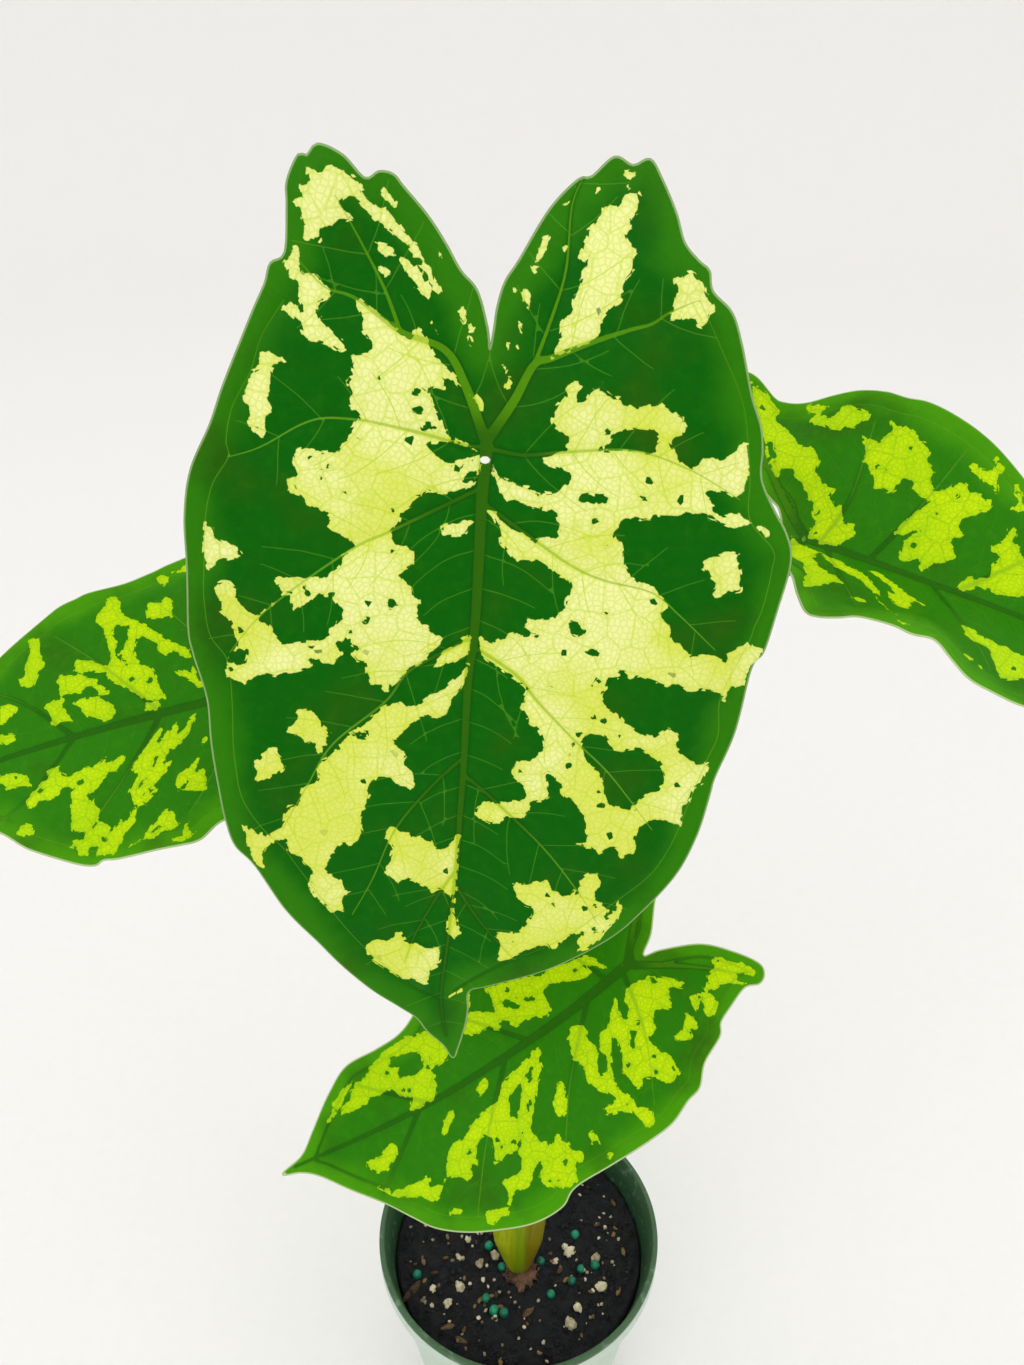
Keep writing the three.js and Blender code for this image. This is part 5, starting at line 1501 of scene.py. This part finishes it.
class CaladiumLeafSettings(bpy.types.PropertyGroup):
    """Sizes and colours of the blades."""

    blade_thickness: FloatProperty(
        name="Blade thickness", description="Thickness of a blade between its veins",
        default=0.5 * MM, subtype="DISTANCE", unit="LENGTH")
    front_step: FloatProperty(
        name="Front leaf detail", description="Length of the front leaf's mesh edges",
        default=0.66 * MM, subtype="DISTANCE", unit="LENGTH")
    small_step: FloatProperty(
        name="Other leaf detail", description="Length of the mesh edges of the other leaves",
        default=0.75 * MM, subtype="DISTANCE", unit="LENGTH")
    cream: FloatVectorProperty(
        name="Cream", description="Pale patches of the oldest leaf",
        default=tint(236, 239, 160), size=4, subtype="COLOR")
    lime: FloatVectorProperty(
        name="Lime", description="Pale patches of the younger leaves",
        default=tint(196, 228, 2), size=4, subtype="COLOR")
    green: FloatVectorProperty(
        name="Green", description="Ground colour near the margin",
        default=tint(44, 120, 3), size=4, subtype="COLOR")
    shade: FloatVectorProperty(
        name="Deep green", description="Ground colour between the veins",
        default=tint(6, 94, 2), size=4, subtype="COLOR")


class CaladiumStageSettings(bpy.types.PropertyGroup):
    """Floor and light."""

    floor_radius: FloatProperty(
        name="Floor radius", description="Where the floor starts to sweep up",
        default=2.6, subtype="DISTANCE", unit="LENGTH")
    key_power: FloatProperty(
        name="Key light", description="Power of the large light in front", default=6.0, unit="POWER")
    fill_power: FloatProperty(
        name="Fill light", description="Power of the light on the other side", default=2.0, unit="POWER")
    sky: FloatProperty(
        name="Surround", description="Brightness of the white surround", default=1.15)


class CaladiumSoilSettings(bpy.types.PropertyGroup):
    """The loose mix on the soil."""

    crumbs: IntProperty(name="Crumbs", description="Dark crumbs on the soil", default=1500)
    chips: IntProperty(name="Chips", description="Small pale chips on the soil", default=150)
    slivers: IntProperty(name="Slivers", description="Small bark slivers on the soil", default=60)
    fibres: IntProperty(name="Fibres", description="Fibres round the corm", default=120)


class CALADIUM_OT_stage(bpy.types.Operator):
    """Sets the floor, the lights and the camera."""

    bl_idname = "caladium.stage"
    bl_label = "Stage"

    def execute(self, context):
        settings = context.scene.caladium_stage
        make_floor(settings.floor_radius / MM)
        make_lights(settings)
        make_camera(context.scene)
        context.scene.view_settings.view_transform = "Standard"
        return {"FINISHED"}


def make_floor(radius):
    """A pale floor that sweeps up all round, so that no edge shows from any side."""
    sweep = 1400
    profile = [(r, 0) for r in np.linspace(0, radius, 14)[1:]]
    for angle in np.linspace(0, math.pi / 2, 16)[1:]:
        profile.append((radius + sweep * math.sin(angle), sweep * (1 - math.cos(angle))))
    profile += [(radius + sweep, sweep + rise) for rise in (600, 1400, 2400)]
    sides = 96
    points, faces = [(0, 0, 0)], []
    for k in range(sides):
        angle = 2 * math.pi * k / sides
        points += [(r * math.cos(angle), r * math.sin(angle), z) for r, z in profile]
        here, after = 1 + k * len(profile), 1 + ((k + 1) % sides) * len(profile)
        faces.append((0, here, after))
        faces += [(here + i, here + i + 1, after + i + 1, after + i) for i in range(len(profile) - 1)]
    floor = make_object("studio_floor", points, faces)
    shader = Shader("studio_paper")
    fibre = shader.noise(shader.place(), 180.0, 4.0)
    floor.data.materials.append(shader.finish(
        Base_Color=shader.mix(fibre, tint(240, 239, 237), tint(244, 243, 242)), Roughness=0.9))


def make_lights(settings):
    """A bright, soft surround with one large light each side of the camera."""
    world = bpy.data.worlds.new("white_surround")
    world.use_nodes = True
    background = world.node_tree.nodes["Background"]
    background.inputs[0].default_value = (1.0, 0.995, 0.985, 1.0)
    background.inputs[1].default_value = settings.sky
    bpy.context.scene.world = world
    lamps = [
        ("key_light", (-0.7, -1.3, 1.5), 1.2, settings.key_power),
        ("fill_light", (1.2, -0.9, 1.1), 1.0, settings.fill_power),
    ]
    aim = Vector((0, 0, 0.3))
    for name, place, size, power in lamps:
        lamp = bpy.data.lights.new(name, "AREA")
        lamp.size = size
        lamp.energy = power
        made = bpy.data.objects.new(name, lamp)
        made.location = place
        made.rotation_euler = (aim - Vector(place)).to_track_quat("-Z", "Y").to_euler()
        bpy.context.collection.objects.link(made)


def make_camera(scene):
    """The camera at the photograph's own place, lens and tilt."""
    lens = bpy.data.cameras.new("photo_camera")
    lens.lens = LENS
    lens.sensor_width = SENSOR
    lens.sensor_fit = "AUTO"
    lens.clip_start = 0.01
    made = bpy.data.objects.new("photo_camera", lens)
    made.location = Vector(CAMERA_PLACE) * MM
    made.rotation_euler = (math.pi / 2 - PITCH, 0, 0)
    bpy.context.collection.objects.link(made)
    scene.camera = made


class CALADIUM_OT_pot(bpy.types.Operator):
    """Builds the nursery pot."""

    bl_idname = "caladium.pot"
    bl_label = "Pot"

    def execute(self, context):
        place_piece(pot_mesh(), pot_finish(), "pot")
        return {"FINISHED"}


class CALADIUM_OT_soil(bpy.types.Operator):
    """Builds the soil with its crumbs, perlite, prills and bark."""

    bl_idname = "caladium.soil"
    bl_label = "Soil"

    def execute(self, context):
        settings = context.scene.caladium_soil
        random = np.random.default_rng(41)
        bed = soil_mesh()
        add_values(bed, "tone", np.full(len(bed.data.vertices), 0.2))
        dark = speckled_finish("potting_mix", tint(3, 5, 9), tint(20, 22, 26), 0.85, 900.0, 0.0012)
        place_piece(bed, dark, "soil")

        crumbs = []
        for x, y in scattered(settings.crumbs, 3, 45, random):
            size = random.uniform(0.35, 1.15)
            points, faces = rough_ball(size, 1, (1, random.uniform(0.5, 1.1), 0.7), 0.5, random)
            crumbs.append((points + (x, y, soil_height(x, y) + 0.3 * size), faces, random.random()))
        place_piece(gather("soil_crumbs", crumbs, smooth=False), dark)

        chips = []
        for seen_x, seen_y, radius in PERLITE:
            x, y = on_soil(seen_x, seen_y)
            points, faces = rough_ball(0.9 * radius, 3, (0.85, 1.2, 0.8), 0.6, random)
            chips.append((points + (x, y, soil_height(x, y) + 0.3 * radius), faces, random.uniform(0.3, 1)))
        for x, y in scattered(settings.chips, 9, 44, random):
            radius = random.uniform(0.3, 0.85)
            points, faces = rough_ball(radius, 2, (1, random.uniform(0.6, 1.2), 0.7), 0.5, random)
            chips.append((points + (x, y, soil_height(x, y) + 0.5 * radius), faces, random.uniform(0, 0.9)))
        white = speckled_finish("perlite_grain", tint(112, 96, 62), tint(226, 216, 182), 0.8, 700.0, 0.0006)
        place_piece(gather("perlite_bits", chips), white)

        prills = []
        for seen_x, seen_y in PRILLS:
            x, y = on_soil(seen_x, seen_y)
            points, faces = rough_ball(PRILL_RADIUS * random.uniform(0.85, 1.05), 3, (1, 1, 1), 0.06, random)
            prills.append((points + (x, y, soil_height(x, y) + 0.9), faces, random.random()))
        coated = speckled_finish("prill_coat", tint(1, 92, 66), tint(6, 142, 104), 0.35, 1200.0, 0.0001)
        place_piece(gather("fertiliser_prills", prills), coated)

        slivers = []
        for seen_x, seen_y, length, turn in BARK:
            x, y = on_soil(seen_x, seen_y)
            slivers.append(self.sliver(x, y, length, turn, random))
        for x, y in scattered(settings.slivers, 8, 44, random):
            slivers.append(self.sliver(x, y, random.uniform(0.9, 2.4), random.uniform(0, 3.1), random))
        wood = speckled_finish("bark_wood", tint(48, 32, 20), tint(132, 104, 62), 0.8, 1100.0, 0.0006)
        place_piece(gather("bark_slivers", slivers), wood)
        return {"FINISHED"}

    @staticmethod
    def sliver(x, y, length, turn, random):
        """One long thin splinter lying on the soil."""
        points, faces = rough_ball(1, 2, (1, 1, 1), 0.5, random)
        points = points * (0.8 * length, 0.24 * length + 0.3, 0.5)
        spin_matrix = np.array(Matrix.Rotation(turn, 3, "Z"))
        return points @ spin_matrix.T + (x, y, soil_height(x, y) + 0.5), faces, random.random()


class CALADIUM_OT_corm(bpy.types.Operator):
    """Builds the corm's fibrous crown."""

    bl_idname = "caladium.corm"
    bl_label = "Corm"

    def execute(self, context):
        random = np.random.default_rng(5)
        points, faces = rough_ball(CORM_RADIUS, 4, (1, 1, 1), 0.08, random)
        lumps = [(points + CORM_CENTRE, faces, 0.3)]
        for place, radius in CORM_LUMPS:
            points, faces = rough_ball(radius, 4, (1, 0.9, 0.8), 0.35, random)
            lumps.append((points + place, faces, random.uniform(0.2, 0.9)))
        for _ in range(context.scene.caladium_soil.fibres):
            angle = random.normal(-1.3, 0.8)
            foot = np.array(CORM_CENTRE) + (3.6 * math.cos(angle), 3.4 * math.sin(angle) - 0.6, 8.4)
            reach = random.uniform(1, 5)
            swing = random.uniform(-1.6, 1.6)
            row = []
            for t in np.linspace(0, 1, 7):
                bearing = angle + swing * t
                away = np.array([math.cos(bearing), math.sin(bearing), 0]) * reach * t
                at = foot + away
                at[2] = max(foot[2] * (1 - t) + t * soil_height(at[0], at[1]), soil_height(at[0], at[1]))
                at[2] += 0.5 + 1.1 * math.sin(math.pi * t) * random.uniform(0.3, 1)
                row.append(at)
            middles = np.array(row)
            width = random.uniform(0.2, 0.62) * np.linspace(1, 0.35, 7)
            fibre, sides = tube(middles, np.repeat(width[:, None], 5, 1), 5)
            lumps.append((fibre, sides, random.random()))
        finish = speckled_finish("corm_fibre", tint(40, 26, 18), tint(116, 84, 64), 0.85, 1300.0, 0.0008)
        place_piece(gather("corm_crown", lumps), finish, "corm")
        return {"FINISHED"}


class CALADIUM_OT_stalks(bpy.types.Operator):
    """Builds the four leaf stalks."""

    bl_idname = "caladium.stalks"
    bl_label = "Stalks"

    def execute(self, context):
        skin = stalk_finish()
        for name in STALKS:
            place_piece(stalk_mesh(name), skin, "stalk_" + name)
        return {"FINISHED"}


class CALADIUM_OT_leaves(bpy.types.Operator):
    """Builds the four blades."""

    bl_idname = "caladium.leaves"
    bl_label = "Leaves"

    def execute(self, context):
        settings = context.scene.caladium_leaf
        old = leaf_finish("cream_leaf_skin", list(settings.cream), tint(214, 224, 84),
                          tint(190, 214, 26), list(settings.green), list(settings.shade), 1.0, True)
        young = leaf_finish("lime_leaf_skin", list(settings.lime), tint(178, 218, 2),
                            tint(128, 186, 3), tint(70, 148, 2), tint(40, 120, 1), 0.3, False)
        for name in LEAVES:
            place_piece(blade_mesh(name, settings), old if name == "front" else young,
                        "blade_" + name)
        return {"FINISHED"}


class CALADIUM_PT_panel(bpy.types.Panel):
    """Lists the plant's pieces in the sidebar."""

    bl_idname = "CALADIUM_PT_panel"
    bl_label = "Potted caladium"
    bl_space_type = "VIEW_3D"
    bl_region_type = "UI"
    bl_category = "Caladium"

    def draw(self, context):
        for step in STEPS:
            self.layout.operator(step.bl_idname)
        for group in (context.scene.caladium_leaf, context.scene.caladium_stage, context.scene.caladium_soil):
            for key in group.__annotations__:
                self.layout.prop(group, key)


STEPS = (CALADIUM_OT_stage, CALADIUM_OT_pot, CALADIUM_OT_soil, CALADIUM_OT_corm,
         CALADIUM_OT_stalks, CALADIUM_OT_leaves)
GROUPS = {"caladium_leaf": CaladiumLeafSettings, "caladium_stage": CaladiumStageSettings,
          "caladium_soil": CaladiumSoilSettings}
CLASSES = tuple(GROUPS.values()) + STEPS + (CALADIUM_PT_panel,)


def register():
    """Adds the settings, the operators and the panel."""
    for kind in CLASSES:
        bpy.utils.register_class(kind)
    for key, group in GROUPS.items():
        setattr(bpy.types.Scene, key, PointerProperty(type=group))


def unregister():
    """Takes them away again."""
    for key in GROUPS:
        delattr(bpy.types.Scene, key)
    for kind in reversed(CLASSES):
        bpy.utils.unregister_class(kind)


def main():
    """Builds the stage and the plant."""
    register()
    for step in STEPS:
        group, name = step.bl_idname.split(".")
        getattr(getattr(bpy.ops, group), name)()


if __name__ == "__main__":
    main()
